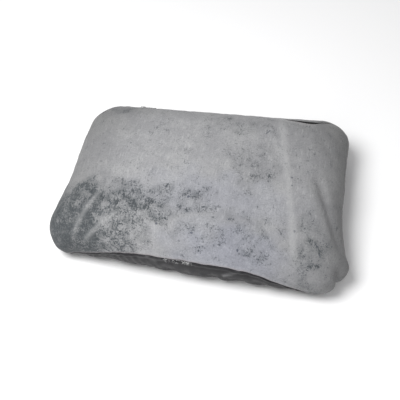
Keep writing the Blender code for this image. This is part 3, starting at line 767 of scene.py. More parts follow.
class Finish:
    """A material and its nodes. Socket names are given as they read in Blender."""

    def __init__(self, name, **sockets):
        self.material = bpy.data.materials.new(name)
        self.material.use_nodes = True
        self.tree = self.material.node_tree
        self.surface = self.tree.nodes["Principled BSDF"]
        for socket, value in sockets.items():
            self.surface.inputs[socket.replace("_", " ")].default_value = value
        self.place = self.tree.nodes.new("ShaderNodeTexCoord").outputs["Object"]

    def node(self, kind, inputs, **settings):
        made = self.tree.nodes.new(kind)
        for setting, value in settings.items():
            setattr(made, setting, value)
        for socket, value in inputs.items():
            self.feed(made.inputs[socket], value)
        return made

    def feed(self, socket, value):
        if isinstance(value, bpy.types.NodeSocket):
            self.tree.links.new(value, socket)
        else:
            socket.default_value = value

    def set(self, socket, value):
        self.feed(self.surface.inputs[socket], value)

    def math(self, operation, first, second=0.0):
        return self.node("ShaderNodeMath", {0: first, 1: second}, operation=operation).outputs[0]

    def mix(self, factor, first, second, blend_type="MIX"):
        made = self.node("ShaderNodeMix", {0: factor, 6: first, 7: second},
                         data_type="RGBA", blend_type=blend_type)
        return made.outputs[2]

    def times(self, first, second):
        return self.math("MULTIPLY", first, second)

    def stretched(self, scale, turn=0.0):
        made = self.node("ShaderNodeMapping", {"Vector": self.place, "Scale": scale,
                                               "Rotation": (0.0, 0.0, turn)})
        return made.outputs["Vector"]

    def noise(self, size, detail=3.0, roughness=0.55, vector=None):
        """Noise whose features are about size metres across."""
        made = self.node("ShaderNodeTexNoise", {"Vector": vector or self.place, "Scale": 1.0 / size,
                                                "Detail": detail, "Roughness": roughness})
        return made.outputs[0]

    def between(self, value, low, high, least=0.0, most=1.0):
        made = self.node("ShaderNodeMapRange", {0: value, 1: low, 2: high, 3: least, 4: most},
                         interpolation_type="SMOOTHSTEP")
        return made.outputs[0]

    def wave(self, scale, direction, distortion=0.0):
        inputs = {"Vector": self.place, "Scale": scale, "Distortion": distortion}
        return self.node("ShaderNodeTexWave", inputs, bands_direction=direction).outputs[1]

    def weave(self, pitch):
        """Height of a plain weave: two crossing sets of threads."""
        return self.times(*[self.wave(WAVE_SPACING / pitch, direction) for direction in ("X", "Y")])

    def mask(self, name):
        return self.node("ShaderNodeAttribute", {}, attribute_name=name).outputs["Fac"]

    def bump(self, height, distance, strength=1.0):
        made = self.node("ShaderNodeBump", {"Height": height, "Distance": distance, "Strength": strength})
        self.set("Normal", made.outputs[0])


def grey(level, blue=1.0):
    return (level, level, level * blue, 1.0)


# Three kinds of fleck in the print: size, stretch, turn, and the noise level where they begin
FLECKS = (
    (0.0024, (1.0, 0.85, 1.0), 0.0, 0.650),
    (0.0032, (1.0, 0.28, 1.0), 0.15, 0.665),
    (0.0034, (0.40, 1.0, 1.0), 0.30, 0.690),
)


def face_finish():
    """Brushed fabric with a mottled grey print, darker where its masks say; the masks also paint shade, a
    cool cast of light and highlights on creases.
    """
    made = Finish("brushed mottled fabric", Roughness=0.95, Sheen_Weight=0.06, Sheen_Roughness=0.5)
    cloud, blue, pale = made.mask("cloud"), made.mask("blue"), made.mask("pale")
    tone, hem, spots = made.mask("tone"), made.mask("hem"), made.mask("spots")
    patch = made.noise(0.016, 4.0, 0.65)
    grain = made.noise(0.0026, 3.0, 0.75)
    combed = made.noise(0.0030, 3.0, 0.6, made.stretched((1.0, 0.20, 1.0), 0.08))
    broad = made.noise(0.060, 3.0)
    colour = made.mix(made.between(broad, 0.36, 0.64), grey(0.302, 1.03), grey(0.346, 1.01))
    colour = made.mix(made.between(patch, 0.30, 0.62, 0.42, 0.0), colour, grey(0.250, 1.03))
    colour = made.mix(made.between(grain, 0.32, 0.62, 0.55, 0.0), colour, grey(0.215, 1.03))
    colour = made.mix(made.between(combed, 0.52, 0.74, 0.0, 0.45), colour, grey(0.440, 1.0))
    # painted shade: the print is multiplied darker by the tone mask's share, for the shade on the right end
    # and towards the rear, and on the left side
    shade = made.mix(1.0, colour, grey(0.58, 0.98), "MULTIPLY")
    colour = made.mix(made.between(tone, 0.0, 1.0), colour, shade)
    # the dark print: a thin wash, then flecks, combed strokes and crazed lines that thicken with the cloud
    streaks = made.noise(0.0070, 4.0, 0.65, made.stretched((1.0, 0.24, 1.0), 0.12))
    streaks = made.math("ADD", made.times(patch, 0.5), made.times(streaks, 0.5))
    wash = made.times(cloud, made.between(streaks, 0.38, 0.58, 0.36, 1.0))
    colour = made.mix(wash, colour, (0.050, 0.057, 0.060, 1.0))
    thick = made.math("ADD", made.times(made.noise(0.018, 4.0, 0.7), 0.62), made.times(cloud, 0.42))
    thick = made.between(thick, 0.19, 0.68, 0.0, 0.92)
    strength = made.between(thick, 0.15, 0.85, 0.38, 0.94)
    for size, stretch, turn, low in FLECKS:
        speck = made.noise(size, 3.0, 0.75, made.stretched(stretch, turn))
        speck = made.math("ADD", speck, made.times(thick, 0.17))
        speck = made.times(made.between(speck, low, low + 0.075), strength)
        colour = made.mix(speck, colour, (0.042, 0.048, 0.053, 1.0))
    crazed = made.noise(0.0062, 4.0, 0.65)
    crazed = made.math("ABSOLUTE", made.math("SUBTRACT", crazed, 0.5))
    crazed = made.between(crazed, 0.004, 0.022, 1.0, 0.0)
    crazed = made.times(crazed, made.between(thick, 0.15, 0.70, 0.0, 0.58))
    colour = made.mix(crazed, colour, (0.090, 0.100, 0.108, 1.0))
    spots = made.math("ADD", spots, made.times(grain, 0.7))
    colour = made.mix(made.between(spots, 0.88, 1.10, 0.0, 0.85), colour, (0.055, 0.062, 0.080, 1.0))
    # painted light: a cool, slightly darker cast of the light from the front, along the middle of the front
    tint = made.mix(1.0, colour, (0.84, 0.88, 1.06, 1.0), "MULTIPLY")
    colour = made.mix(made.times(blue, 0.45), colour, tint)
    # painted highlight along the raised creases
    colour = made.mix(made.times(pale, 0.45), colour, grey(0.42, 1.0))
    colour = made.mix(made.times(hem, 0.5), colour, (0.38, 0.345, 0.355, 1.0))
    made.set("Base Color", colour)
    pile = made.math("ADD", made.noise(0.0011, 2.0, 0.7), made.times(grain, 0.8))
    made.bump(pile, 0.6 * MM, 0.6)
    return made.material


def shell_finish():
    """Slick dark woven cloth, with a painted highlight along its sharp wrinkle and on a few puckers."""
    made = Finish("slick dark shell cloth", Specular_IOR_Level=0.30)
    streak = made.noise(0.012, 3.0, 0.6, made.stretched((1.5, 1.5, 0.5)))
    speck = made.noise(0.0022, 2.0, 0.7)
    dark, light = (0.0094, 0.0088, 0.0106, 1.0), (0.0165, 0.0155, 0.0180, 1.0)
    colour = made.mix(made.between(streak, 0.3, 0.7), dark, light)
    colour = made.mix(made.between(speck, 0.62, 0.80, 0.0, 0.5), colour, grey(0.05, 1.05))
    # painted highlight along the sharp wrinkle and on a few puckers, where the slick cloth would catch the
    # light
    colour = made.mix(made.times(made.mask("rubbed"), 0.80), colour, grey(0.20, 1.02))
    made.set("Base Color", colour)
    made.set("Roughness", made.between(streak, 0.25, 0.75, 0.42, 0.60))
    made.bump(made.math("ADD", made.weave(0.7 * MM), speck), 0.15 * MM, 0.5)
    return made.material


def cloth_finish(name, light, dark, pitch, roughness=0.75, sheen=0.1):
    """Plain woven cloth or tape."""
    made = Finish(name, Roughness=roughness, Sheen_Weight=sheen)
    weave = made.weave(pitch)
    patch = made.noise(0.010, 3.0)
    colour = made.mix(made.between(weave, 0.0, 0.8), dark, light)
    colour = made.mix(made.between(patch, 0.35, 0.7, 0.0, 0.35), colour, dark)
    made.set("Base Color", colour)
    made.bump(weave, 0.2 * pitch, 0.8)
    return made.material


def nylon_finish():
    made = Finish("black nylon", Roughness=0.32, IOR=1.53)
    drawn = made.noise(0.0008, 2.0)
    made.set("Base Color", made.mix(drawn, grey(0.008, 1.05), grey(0.018, 1.05)))
    made.bump(drawn, 0.04 * MM, 0.4)
    return made.material


def thread_finish(name, light, dark):
    made = Finish(name, Roughness=0.6, Sheen_Weight=0.2)
    twist = made.wave(500.0, "DIAGONAL", 2.0)
    made.set("Base Color", made.mix(twist, dark, light))
    made.bump(twist, 0.08 * MM, 0.6)
    return made.material


def metal_finish():
    """Black lacquered zinc, with the metal showing where it rubs."""
    made = Finish("black lacquered zinc", Metallic=0.75, Coat_Weight=0.35, Coat_Roughness=0.2)
    wear = made.noise(0.0016, 4.0, 0.7)
    edge = made.node("ShaderNodeNewGeometry", {}).outputs["Pointiness"]
    rubbed = made.times(made.between(edge, 0.52, 0.62), made.between(wear, 0.4, 0.6))
    made.set("Base Color", made.mix(rubbed, grey(0.035, 1.05), grey(0.30, 1.0)))
    made.set("Roughness", made.between(wear, 0.3, 0.7, 0.26, 0.42))
    made.bump(wear, 0.05 * MM, 0.3)
    return made.material


def foam_finish():
    made = Finish("open foam filling", Roughness=0.95, Subsurface_Weight=0.1)
    cell = made.node("ShaderNodeTexVoronoi", {"Vector": made.place, "Scale": 700.0}).outputs["Distance"]
    patch = made.noise(0.020, 4.0)
    colour = made.mix(made.between(cell, 0.1, 0.7), (0.50, 0.43, 0.28, 1.0), (0.74, 0.67, 0.50, 1.0))
    made.set("Base Color", made.mix(made.between(patch, 0.4, 0.7, 0.0, 0.4), colour, (0.60, 0.50, 0.30, 1.0)))
    made.bump(cell, 0.8 * MM, 0.8)
    return made.material


# ---- the cover --------------------------------------------------------------

GAPE_WIDTH = 3.2 * MM
GAPE_LIFT = 0.5 * MM

# A turned edge: distance from the edge and depth, from the underside round to the outside
TURNED_EDGE = ((1.4, 1.75), (0.6, 1.55), (0.12, 1.1), (0.0, 0.7), (0.12, 0.32), (0.45, 0.08), (0.9, 0.0))
HEM_ROWS = (1.6, 2.5, 3.5, 4.6, 6.0, 8.0, 10.5)


def hem_relief(distance, stations, seed, gather, reach):
    """The sewn edge: a soft roll beside the seam, gathered a little by its stitches."""
    roll = 0.9 * MM * bell((distance - 3.2 * MM) / (2.0 * MM))
    tuck = -0.55 * MM * bell((distance - 7.5 * MM) / (1.8 * MM))
    chance = np.random.default_rng(seed)
    gathers = np.zeros(len(stations))
    for wave in (3.1, 5.3, 8.9, 14.7):
        swell = 0.5 + 0.5 * np.sin(stations * wave * 0.23 + chance.random() * 6.3)
        gathers += np.sin(stations * wave + chance.random() * 6.3) * swell
    return roll + tuck + gather * gathers * smooth(distance / (0.3 * reach)) * bell(distance / reach)


def face_edge(ring):
    """The lower edge of the face: the zip's slot along the zip, the seam elsewhere."""
    seam = beside(seam_angle(ring), 0.5 * SEAM_GAP)
    slot = beside(zip_angle(ring), slot_half(ring) - closing(ring) + GAPE_WIDTH * gape(ring))
    return seam + (slot - seam) * zip_share(ring)


def add_panel(shell, edge, sign, thickness, end, seed, gather, reach):
    """Rows of a panel: underside, turned edge, sewn hem, roll and cap. sign is 1 for the face."""
    ring = shell.ring
    hem = beside(edge, sign * HEM_ROWS[-1] * MM)
    roll_width = np.abs(end - hem) * COVER.arc(0.5 * (hem + end))

    def relief(distance):
        over_zip = 0.5 * closing(ring) * bell(distance / (6.0 * MM)) if sign > 0 else 0.0
        return hem_relief(distance, ring.stations, seed, gather, reach) + over_zip

    def roll_row(share, depth):
        """A row of the roll, from the hem at 0 to the cap at 1."""
        return shell.row(hem + (end - hem) * share, depth, relief(HEM_ROWS[-1] * MM + share * roll_width))

    starts = [roll_row(1.0 - step / UNDER_ROWS, thickness) for step in range(UNDER_ROWS + 1)]
    shell.cap(end, thickness, starts[0])
    for distance, depth in TURNED_EDGE:
        shell.row(beside(edge, sign * distance * MM), depth * MM, relief(distance * MM), 1.0)
    for distance in HEM_ROWS:
        mark = bell(distance / 2.2)
        shell.row(beside(edge, sign * distance * MM), 0.0, relief(distance * MM), mark)
    for step in range(1, ROLL_ROWS + 1):
        last = roll_row(step / ROLL_ROWS, 0.0)
    shell.cap(end, 0.0, last)


def paint(obj, **masks):
    """Store each mask at the vertices of a piece."""
    mesh = obj.data
    points = vertex_points(mesh)
    for name, mask in masks.items():
        values = mask(points)
        mesh.attributes.new(name, "FLOAT", "POINT").data.foreach_set("value", values.astype(np.float32))


def strayed(points):
    """The points, shifted unevenly so that what is drawn on them has a ragged outline."""
    shift = np.stack([ripple(points, 0.038, 12), ripple(points, 0.038, 13)], axis=1)
    return points[:, :2] + 11.0 * MM * shift


def spot(flat, centre, radii):
    """A soft oval patch seen from above."""
    rel = (flat - np.array(centre)) / np.array(radii)
    return smooth(1.25 - np.linalg.norm(rel, axis=1))


# Patches of the dark print, and last a small dark mark near the rear left corner: centre, radii and strength
CLOUDS = (
    ((-0.165, -0.140), (0.056, 0.068), 1.00),
    ((-0.212, -0.112), (0.048, 0.066), 1.00),
    ((-0.165, -0.085), (0.056, 0.046), 0.78),
    ((-0.100, -0.088), (0.088, 0.050), 0.66),
    ((-0.110, -0.135), (0.060, 0.044), 0.58),
    ((-0.030, -0.076), (0.085, 0.044), 0.42),
    ((0.015, -0.120), (0.095, 0.042), 0.30),
    ((0.178, -0.108), (0.030, 0.060), 0.48),
    ((0.085, -0.110), (0.062, 0.050), 0.36),
    ((0.078, 0.010), (0.062, 0.066), 0.32),
    ((0.040, 0.095), (0.095, 0.034), 0.29),
    ((-0.158, 0.110), (0.014, 0.009), 0.50),
)

# Single dark spots of the print: place along X and Y, and size in millimetres
SPOTS = (
    (-0.012, -0.067, 2.6), (-0.051, -0.116, 2.3), (0.151, -0.093, 2.2), (0.003, -0.123, 2.0),
    (-0.014, -0.134, 1.8), (-0.104, -0.141, 1.8), (0.054, -0.096, 2.0), (-0.127, -0.090, 2.4),
    (0.136, -0.001, 2.4), (0.138, -0.016, 2.0), (-0.123, 0.029, 2.0), (0.192, -0.120, 2.6),
    (0.186, -0.107, 2.2), (0.201, -0.137, 2.2), (0.073, -0.134, 2.2), (0.126, 0.117, 1.8),
)


def cloud_mask(points):
    """The dark cloud of the print at the front left, and its smaller patches."""
    uneven = 0.5 + 0.5 * ripple(points, 0.020, 11)
    total = np.zeros(len(points))
    flat = strayed(points)
    for centre, radii, amount in CLOUDS:
        total = np.maximum(total, amount * spot(flat, centre, radii))
    return np.clip(np.maximum(total, 0.14) * (0.66 + 0.50 * uneven), 0.0, 1.0)


def spots_mask(points):
    """The single dark spots and short marks that stand out of the print."""
    total = np.zeros(len(points))
    for x, y, size in SPOTS:
        away = np.hypot(points[:, 0] - x, points[:, 1] - y)
        total = np.maximum(total, bell(away / (0.9 * size * MM)))
    total = np.maximum(total, 0.8 * line_fold(points, (0.084, 0.082), (0.092, 0.094), 1.0, 1.3 * MM))
    total = np.maximum(total, 0.5 * line_fold(points, (0.133, -0.040), (0.160, -0.130), 1.0, 1.6 * MM))
    return total * smooth((points[:, 2] - 0.05) / 0.02)


def cool_light_cast_mask(points):
    """Where a painted cool cast of the light from the front tints the face bluish and a little darker, along
    the middle of the front.
    """
    flat = strayed(points)
    total = spot(flat, (0.060, -0.140), (0.110, 0.050))
    total = np.maximum(total, 0.55 * spot(flat, (0.030, -0.060), (0.150, 0.050)))
    return np.clip(total, 0.0, 1.0)


def shade_and_tone_mask(points):
    """Where the face is painted darker: painted shade on the right end, most where it rolls down, and towards
    the rear, and a darker left side.
    """
    left = smooth((-0.060 - points[:, 0]) / 0.16)
    right = smooth((points[:, 0] - 0.060) / 0.15) + 0.55 * smooth((points[:, 0] - 0.190) / 0.035)
    rear = smooth((points[:, 1] - 0.020) / 0.12)
    return np.clip(0.72 * left + 0.56 * right + 0.32 * rear, 0.0, 1.0)


def crease_highlight_mask(points):
    """Painted highlights where the raised creases of the face catch the light."""
    upper = smooth((points[:, 2] - 0.05) / 0.02)
    total = line_fold(points, (0.105, 0.128), (0.157, -0.140), 1.0, 4.2 * MM) * 0.75
    total = total + 0.7 * line_fold(points, (-0.163, -0.143), (-0.114, -0.104), 1.0, 2.4 * MM)
    total = total + 0.6 * line_fold(points, (-0.178, -0.136), (-0.148, -0.068), 1.0, 2.8 * MM)
    return np.clip(total * upper, 0.0, 1.0)


def rubbed_mask(points):
    """Painted highlight on the shell cloth: along its sharp wrinkle and on a few of the puckers."""
    puckers = bell((points[:, 0] + 0.045) / 0.020) * bell((points[:, 2] - 0.052) / 0.006)
    puckers = puckers * smooth(0.2 + ripple(points, 0.016, 14))
    return np.clip(bell(from_wrinkle(points) / (1.9 * MM)) + 0.5 * puckers, 0.0, 1.0)


def make_cover(face_fabric, shell_cloth):
    ring = closed_ring(LONG_STEPS, SHORT_STEPS)
    face = Shell(ring)
    add_panel(face, face_edge(ring), 1, FACE_THICKNESS, 90.0, 21, 0.22 * MM, 7.0 * MM)
    face = face.build("cover_face", face_fabric)
    back = Shell(ring)
    back_edge = beside(seam_angle(ring), -0.5 * SEAM_GAP)
    add_panel(back, back_edge, -1, BACK_THICKNESS, -90.0, 22, 0.50 * MM, 9.0 * MM)
    back = back.build("cover_back", shell_cloth)
    band = make_band(face_fabric)
    dress(face, "face_panel")
    dress(back, "back_panel")
    dress(band, "rear_band")
    for piece in (face, band):
        # besides the print, these masks carry painted shade, a painted cool light cast and painted highlights
        # on the creases
        paint(piece, cloud=cloud_mask, blue=cool_light_cast_mask, pale=crease_highlight_mask, tone=shade_and_tone_mask, spots=spots_mask)
    # painted highlight on the back panel's wrinkle and puckers
    paint(back, rubbed=rubbed_mask)


def make_band(face_fabric):
    """The strip of face fabric beyond the zip, with a turned edge on both sides."""
    ring = Ring(even_stations(ZIP_START - 0.85, ZIP_STOP + 0.85, 2.4 * MM))
    low = beside(seam_angle(ring), 0.5 * SEAM_GAP)
    top = beside(zip_angle(ring), closing(ring) - slot_half(ring))
    top = low + (top - low) * np.maximum(zip_share(ring), 0.15)
    lift = GAPE_LIFT * gape(ring) + 0.5 * closing(ring)
    rows = [(beside(top, -distance * MM), depth * MM, lift) for distance, depth in TURNED_EDGE]
    for step in range(1, BAND_ROWS):
        share = smooth(step / BAND_ROWS)
        proud = 0.35 * MM * math.sin(math.pi * share) + lift * (1.0 - share) ** 2
        rows.append((top + (low - top) * share, 0.0, proud))
    rows += [(beside(low, distance * MM), depth * MM, 0.0) for distance, depth in TURNED_EDGE[::-1]]
    return section_strip("cover_rear_band", ring, rows, face_fabric)


def make_binding(binding_cloth, thread_cloth):
    """The tape that binds the raw edges inside the seam, and the seam's own row of thread."""
    ring = Ring(even_stations(BINDING_START, STATION_COUNT + BINDING_STOP, 3.0 * MM))
    seam = seam_angle(ring)
    far = BINDING_DEPTH + BINDING_THICKNESS
    rows = [(beside(seam, share * HEM_WIDTH), BINDING_DEPTH, 0.0) for share in np.linspace(1.0, -1.0, 9)]
    rows += [(beside(seam, share * HEM_WIDTH), far, 0.0) for share in np.linspace(-1.0, 1.0, 9)]
    dress(section_strip("seam_binding_tape", ring, rows, binding_cloth), "seam_binding")
    depth = far + FIT_GAP + 0.5 * THREAD
    thread = stitches("seam_thread_row", ring, seam, depth, 3.2 * MM, thread_cloth)
    dress(thread, "seam_stitching")


# One stitch: shares of its length, how far each stands out of the fabric, and its radius there
STITCH_SHARES = np.array([0.0, 0.12, 0.35, 0.65, 0.88, 1.0])
STITCH_RISE = np.array([-0.45, -0.1, 0.0, 0.0, -0.1, -0.45]) * MM
STITCH_RADII = np.array([0.45, 0.9, 1.0, 1.0, 0.9, 0.45]) * 0.5 * THREAD


def stitches(name, ring, angle, depth, pitch, thread_cloth):
    """A row of separate stitches along a line, each dipping into the fabric at both ends."""
    line = cover_points(ring, angle, depth)
    above = cover_points(ring, angle, depth - 1.0 * MM)
    travelled = travel(line)
    parts = []
    for start in np.arange(0.5 * pitch, travelled[-1] - pitch, pitch):
        path = places(start + STITCH_SHARES * 0.82 * pitch, travelled, line)
        outward = places([start], travelled, above - line)[0]
        outward /= np.linalg.norm(outward)
        parts.append(tube_part(path + STITCH_RISE[:, None] * outward, STITCH_RADII, outward))
    return join_meshes(name, parts, thread_cloth)


FRAY_COUNT = 34


def make_fray(thread_cloth):
    """Loose thread ends that have worked out of the front seam."""
    chance = np.random.default_rng(5)
    parts = []
    for _ in range(FRAY_COUNT):
        place = station(FRONT, 4.05 + 1.15 * chance.random() ** 0.8)
        ring = Ring([place, place + 0.02])
        seam = seam_angle(ring)
        root = cover_points(ring, beside(seam, -0.6 * MM), -0.3 * MM)
        down = cover_points(ring, beside(seam, -6.0 * MM), -0.9 * MM)[0] - root[0]
        along = (root[1] - root[0]) / np.linalg.norm(root[1] - root[0])
        out = np.array([0.0, -1.0, 0.25])
        length = 0.35 + 0.75 * chance.random()
        lean, curl = chance.normal() * 2.2 * MM, chance.normal() * 1.6 * MM
        share = np.linspace(0.0, 1.0, 7)
        path = (root[0] + share[:, None] * length * down + (share ** 1.5 * lean)[:, None] * along
                + (np.sin(share * 2.6) * curl)[:, None] * along + (share * 0.7 * MM)[:, None] * out)
        parts.append(tube_part(path, 0.22 * MM * (1.0 - 0.5 * share), np.cross(down, out), 5))
    fray = join_meshes("frayed_seam_threads", parts, thread_cloth)
    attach(fray, "cover")


# ---- the zip ------------------------------------------------------------------

COIL_WIRE = 0.62 * MM
COIL_PITCH = 1.3 * MM
LOOP_POINTS = 10
CLIP_PLACES = 9
CLIP_BEVEL = 0.35 * MM
CLIP_GAP = 0.1
SIDES = (("upper", 1), ("lower", -1))

# Bent metal clips: name, node, from and to across the zip, first and last station
CLIPS = (
    ("bottom_stop_clip", "zip_bottom_stop", -COIL_OUTER, COIL_OUTER, ZIP_START, ZIP_START + 1),
    ("top_stop_clip_upper", "zip_top_stop_upper", COIL_INNER, COIL_OUTER, ZIP_STOP - 1, ZIP_STOP),
    ("top_stop_clip_lower", "zip_top_stop_lower", -COIL_OUTER, -COIL_INNER, ZIP_STOP - 1, ZIP_STOP),
)


def zip_line(ring, distance, depth):
    """Points at a distance above the middle of the zip, measured along the fabric."""
    return settle(COVER.edge(beside(zip_angle(ring), distance), depth, ring))


def make_tapes(tape_cloth):
    ring = Ring(even_stations(ZIP_START, ZIP_STOP, 2.4 * MM))
    rise = 0.5 * TAPE_THICKNESS
    shares = np.linspace(0.0, 1.0, 7)
    zip_at = zip_angle(ring)
    room = (zip_at - beside(seam_angle(ring), SEAM_GAP)) * COVER.arc(0.5 * zip_at) - FIT_GAP
    for side, sign in SIDES:
        hidden = slot_half(ring) + HEM_WIDTH
        if sign < 0:
            hidden = np.minimum(hidden, room)
        section = [(share, TAPE_DEPTH - rise) for share in shares]
        section += [(share, TAPE_DEPTH + rise) for share in shares[::-1]]
        rows = [zip_line(ring, sign * (TAPE_INNER + (hidden - TAPE_INNER) * share), depth)
                for share, depth in section]
        dress(lofted(f"woven_tape_{side}", rows, tape_cloth), f"zip_tape_{side}")


def make_coils(coil_nylon):
    """Each row of the zip is one nylon thread wound in flat loops."""
    ring = Ring(even_stations(ZIP_START + 1, ZIP_STOP - 1, 2.4 * MM))
    centre = zip_line(ring, 0.0, TAPE_DEPTH)
    travelled = travel(centre)
    loops = int((travelled[-1] - 2.0 * COIL_PITCH) / COIL_PITCH)
    for side, sign in SIDES:
        inner = zip_line(ring, sign * (COIL_INNER + 0.5 * COIL_WIRE), TAPE_DEPTH)
        outer = zip_line(ring, sign * (COIL_OUTER - 0.5 * COIL_WIRE), TAPE_DEPTH)
        raised = zip_line(ring, sign * COIL_OUTER, TAPE_DEPTH - 1.0 * MM)
        flat = zip_line(ring, sign * COIL_OUTER, TAPE_DEPTH)
        turns = np.arange(loops * LOOP_POINTS) / LOOP_POINTS + (0.5 if sign < 0 else 0.0)
        at = turns * COIL_PITCH + 0.5 * COIL_PITCH
        near, far, out = [places(at, travelled, line) for line in (inner, outer, raised - flat)]
        out = out / np.linalg.norm(out, axis=1)[:, None]
        swing = np.cos(turns * 2.0 * math.pi)
        blend = 0.5 - 0.5 * np.sign(swing) * np.abs(swing) ** 0.8
        lift = 0.5 * (COIL_THICKNESS - COIL_WIRE) * np.sin(turns * 2.0 * math.pi)
        path = near + (far - near) * blend[:, None] + out * lift[:, None]
        along = np.gradient(places(at, travelled, centre), axis=0)
        coil = join_meshes(f"coil_row_{side}", [tube_part(path, 0.5 * COIL_WIRE, along)], coil_nylon)
        dress(coil, f"zip_coil_{side}")


def make_stops(stop_metal):
    """One clip across both rows at the right end, and one on each row at the left end."""
    top = TAPE_DEPTH - 0.5 * COIL_THICKNESS
    base = TAPE_DEPTH + 0.5 * COIL_THICKNESS
    soft = CLIP_BEVEL
    ends = 1.0 - 0.25 * np.abs(np.linspace(-1.0, 1.0, CLIP_PLACES)) ** 6
    for name, node, low, high, first, last in CLIPS:
        ring = Ring(np.linspace(first + CLIP_GAP, last - CLIP_GAP, CLIP_PLACES))
        section = ((low, top + soft), (low + soft, top), (high - soft, top), (high, top + soft),
                   (high, base - soft), (high - soft, base), (low + soft, base), (low, base - soft))
        middle = 0.5 * (low + high)
        rows = [zip_line(ring, middle + (across - middle) * ends, TAPE_DEPTH + (depth - TAPE_DEPTH) * ends)
                for across, depth in section]
        dress(lofted(name, rows, stop_metal), node)


def make_topstitching(thread_cloth):
    ring = Ring(even_stations(ZIP_START, ZIP_STOP, 2.4 * MM))
    for part, sign in (("face", 1), ("band", -1)):
        line = beside(zip_angle(ring), sign * (slot_half(ring) + STITCH_INSET + 0.5 * THREAD))
        row = stitches(f"{part}_topstitching", ring, line, -0.15 * MM, 3.0 * MM, thread_cloth)
        dress(row, f"topstitch_{part}")


def make_label(label_cloth):
    middle = station(REAR, PEAK_STEPS + RUN_STEPS // 2)
    half = 0.5 * LABEL_WIDTH / ((ZIP_RUN_RIGHT - ZIP_RUN_LEFT) / RUN_STEPS)
    ring = Ring(np.linspace(middle - half, middle + half, 41))
    near = BINDING_DEPTH + BINDING_THICKNESS
    rows = []
    for share in np.linspace(0.0, 1.0, 17):
        angle = LABEL_TOP_ANGLE + (LABEL_LOW_ANGLE - LABEL_TOP_ANGLE) * share
        rows.append((angle, near, -0.25 * MM * (1.0 + np.sin(ring.stations * 6.0)) * share))
    rows += [(angle, depth + LABEL_THICKNESS, proud) for angle, depth, proud in rows[::-1]]
    dress(section_strip("blank_care_label", ring, rows, label_cloth), "care_label")


# ---- the insert ---------------------------------------------------------------

INSERT_LONG_STEPS = 84
INSERT_SHORT_STEPS = 58
INSERT_ROWS = 18
CASING_CREASES = 0.35 * MM
FOAM_LUMPS = 0.8 * MM
FOAM_GAP = 0.3 * MM


def make_insert(casing_cloth, foam):
    ring = closed_ring(INSERT_LONG_STEPS, INSERT_SHORT_STEPS)
    seam = 0.5 * SEAM_GAP / INSERT.arc(0.0)

    def sunk(block, angle, amount, pitch, seed):
        """How far a row sinks below the block, unevenly."""
        return -amount * (1.0 + ripple(settle(block.edge(angle, 0.0, ring)), pitch, seed))

    for name, node, sign in (("insert_casing_upper", "insert_casing_top", 1),
                             ("insert_casing_lower", "insert_casing_base", -1)):
        angles = [sign * (seam + (90.0 - seam) * step / INSERT_ROWS) for step in range(INSERT_ROWS + 1)]
        creased = [(angle, sunk(INSERT, angle, CASING_CREASES, 0.02, 31)) for angle in angles[:-1]]
        inside = [(angles[-1], 0.0)] + creased[::-1]
        casing = Shell(ring, INSERT)
        casing.closed_rows([(angle, CASING_THICKNESS, proud) for angle, proud in inside]
                           + [(angle, 0.0, proud) for angle, proud in inside[::-1]])
        casing = casing.build(name, casing_cloth)
        dress(casing, node)
    angles = np.linspace(-90.0, 90.0, 2 * INSERT_ROWS + 1)
    lumps = [0.0] + [sunk(FILLING, angle, FOAM_LUMPS, 0.035, 32) for angle in angles[1:-1]] + [0.0]
    filling = Shell(ring, FILLING)
    filling.closed_rows([(angle, FOAM_GAP, proud) for angle, proud in zip(angles, lumps)])
    filling = filling.build("foam_filling", foam)
    dress(filling, "filling")


# ---- stage --------------------------------------------------------------------

def aim(obj, eye, target, roll=0.0):
    """Stand an object at eye, looking at target, rolled about its line of sight."""
    back = (Vector(eye) - Vector(target)).normalized()
    turn = back.to_track_quat("Z", "Y")
    obj.location = eye
    obj.rotation_mode = "QUATERNION"
    obj.rotation_quaternion = turn
    obj.rotation_quaternion.rotate(Quaternion(back, roll))


CAMERA_LENS = 77.1
CAMERA_AZIMUTH = math.radians(11.4)
CAMERA_ELEVATION = math.radians(51.0)
CAMERA_ROLL = math.radians(-1.44)
CAMERA_DISTANCE = 1.374
CAMERA_TARGET = Vector((-0.0058, -0.0099, 0.03))


def make_camera():
    data = bpy.data.cameras.new("camera")
    data.lens = CAMERA_LENS
    data.sensor_width = 36.0
    camera = bpy.data.objects.new("camera", data)
    bpy.context.scene.collection.objects.link(camera)
    level = math.cos(CAMERA_ELEVATION)
    across, along = math.sin(CAMERA_AZIMUTH) * level, -math.cos(CAMERA_AZIMUTH) * level
    back = Vector((across, along, math.sin(CAMERA_ELEVATION)))
    aim(camera, CAMERA_TARGET + back * CAMERA_DISTANCE, CAMERA_TARGET, CAMERA_ROLL)
    bpy.context.scene.camera = camera


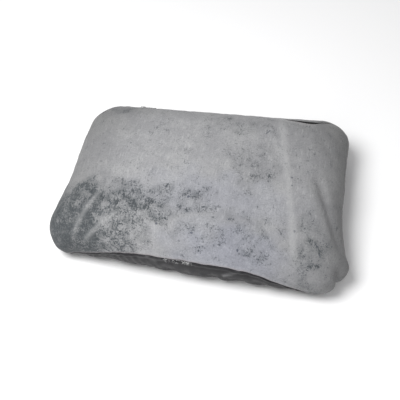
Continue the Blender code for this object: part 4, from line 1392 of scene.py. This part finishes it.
def area_light(name, place, size, power, target=(0.0, 0.0, 0.04)):
    data = bpy.data.lights.new(name, "AREA")
    data.shape = "DISK"
    data.size = size
    data.energy = power
    light = bpy.data.objects.new(name, data)
    bpy.context.scene.collection.objects.link(light)
    aim(light, Vector(place), Vector(target))


FLOOR_HEIGHT = -0.6 * MM


def make_stage():
    floor_finish = Finish("pale floor", Roughness=0.9)
    tone = floor_finish.noise(0.5, 2.0)
    floor_finish.set("Base Color", floor_finish.mix(tone, grey(0.86), grey(0.90)))
    corners = [[x, y, FLOOR_HEIGHT] for x, y in ((-3, -3), (3, -3), (3, 3), (-3, 3))]
    floor = make_mesh("floor", np.array(corners, float), np.array([[0, 1, 2, 3]]), floor_finish.material)
    world = bpy.data.worlds.new("studio")
    world.use_nodes = True
    background = world.node_tree.nodes["Background"]
    background.inputs["Color"].default_value = (0.99, 0.99, 1.0, 1.0)
    background.inputs["Strength"].default_value = 0.50
    bpy.context.scene.world = world
    area_light("key", (-0.52, -0.46, 1.42), 0.9, 25.0)
    area_light("front fill", (-0.2, -1.5, 1.3), 1.2, 4.0)
    bpy.context.scene.view_settings.view_transform = "Standard"


def main():
    make_camera()
    make_stage()
    simulate_cloth()
    thread_cloth = thread_finish("grey sewing thread", grey(0.42), grey(0.22))
    make_cover(face_finish(), shell_finish())
    make_binding(cloth_finish("grey binding tape", grey(0.16), grey(0.08), 0.6 * MM), thread_cloth)
    make_fray(thread_finish("pale loose thread", grey(0.55), grey(0.38)))
    zip_cloth = cloth_finish("black zip tape", grey(0.012, 1.1), grey(0.005, 1.1), 0.55 * MM, 0.8, sheen=0.0)
    make_tapes(zip_cloth)
    make_coils(nylon_finish())
    metal = metal_finish()
    make_stops(metal)
    make_topstitching(thread_cloth)
    make_label(cloth_finish("white label tape", grey(0.80), grey(0.62), 0.5 * MM, 0.6))
    make_insert(cloth_finish("white casing cloth", grey(0.76), grey(0.60), 0.7 * MM, 0.8), foam_finish())
    for node in ("zip_slider", "zip_pull"):
        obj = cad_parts[node]
        obj.data.materials.clear()
        obj.data.materials.append(metal)


main()
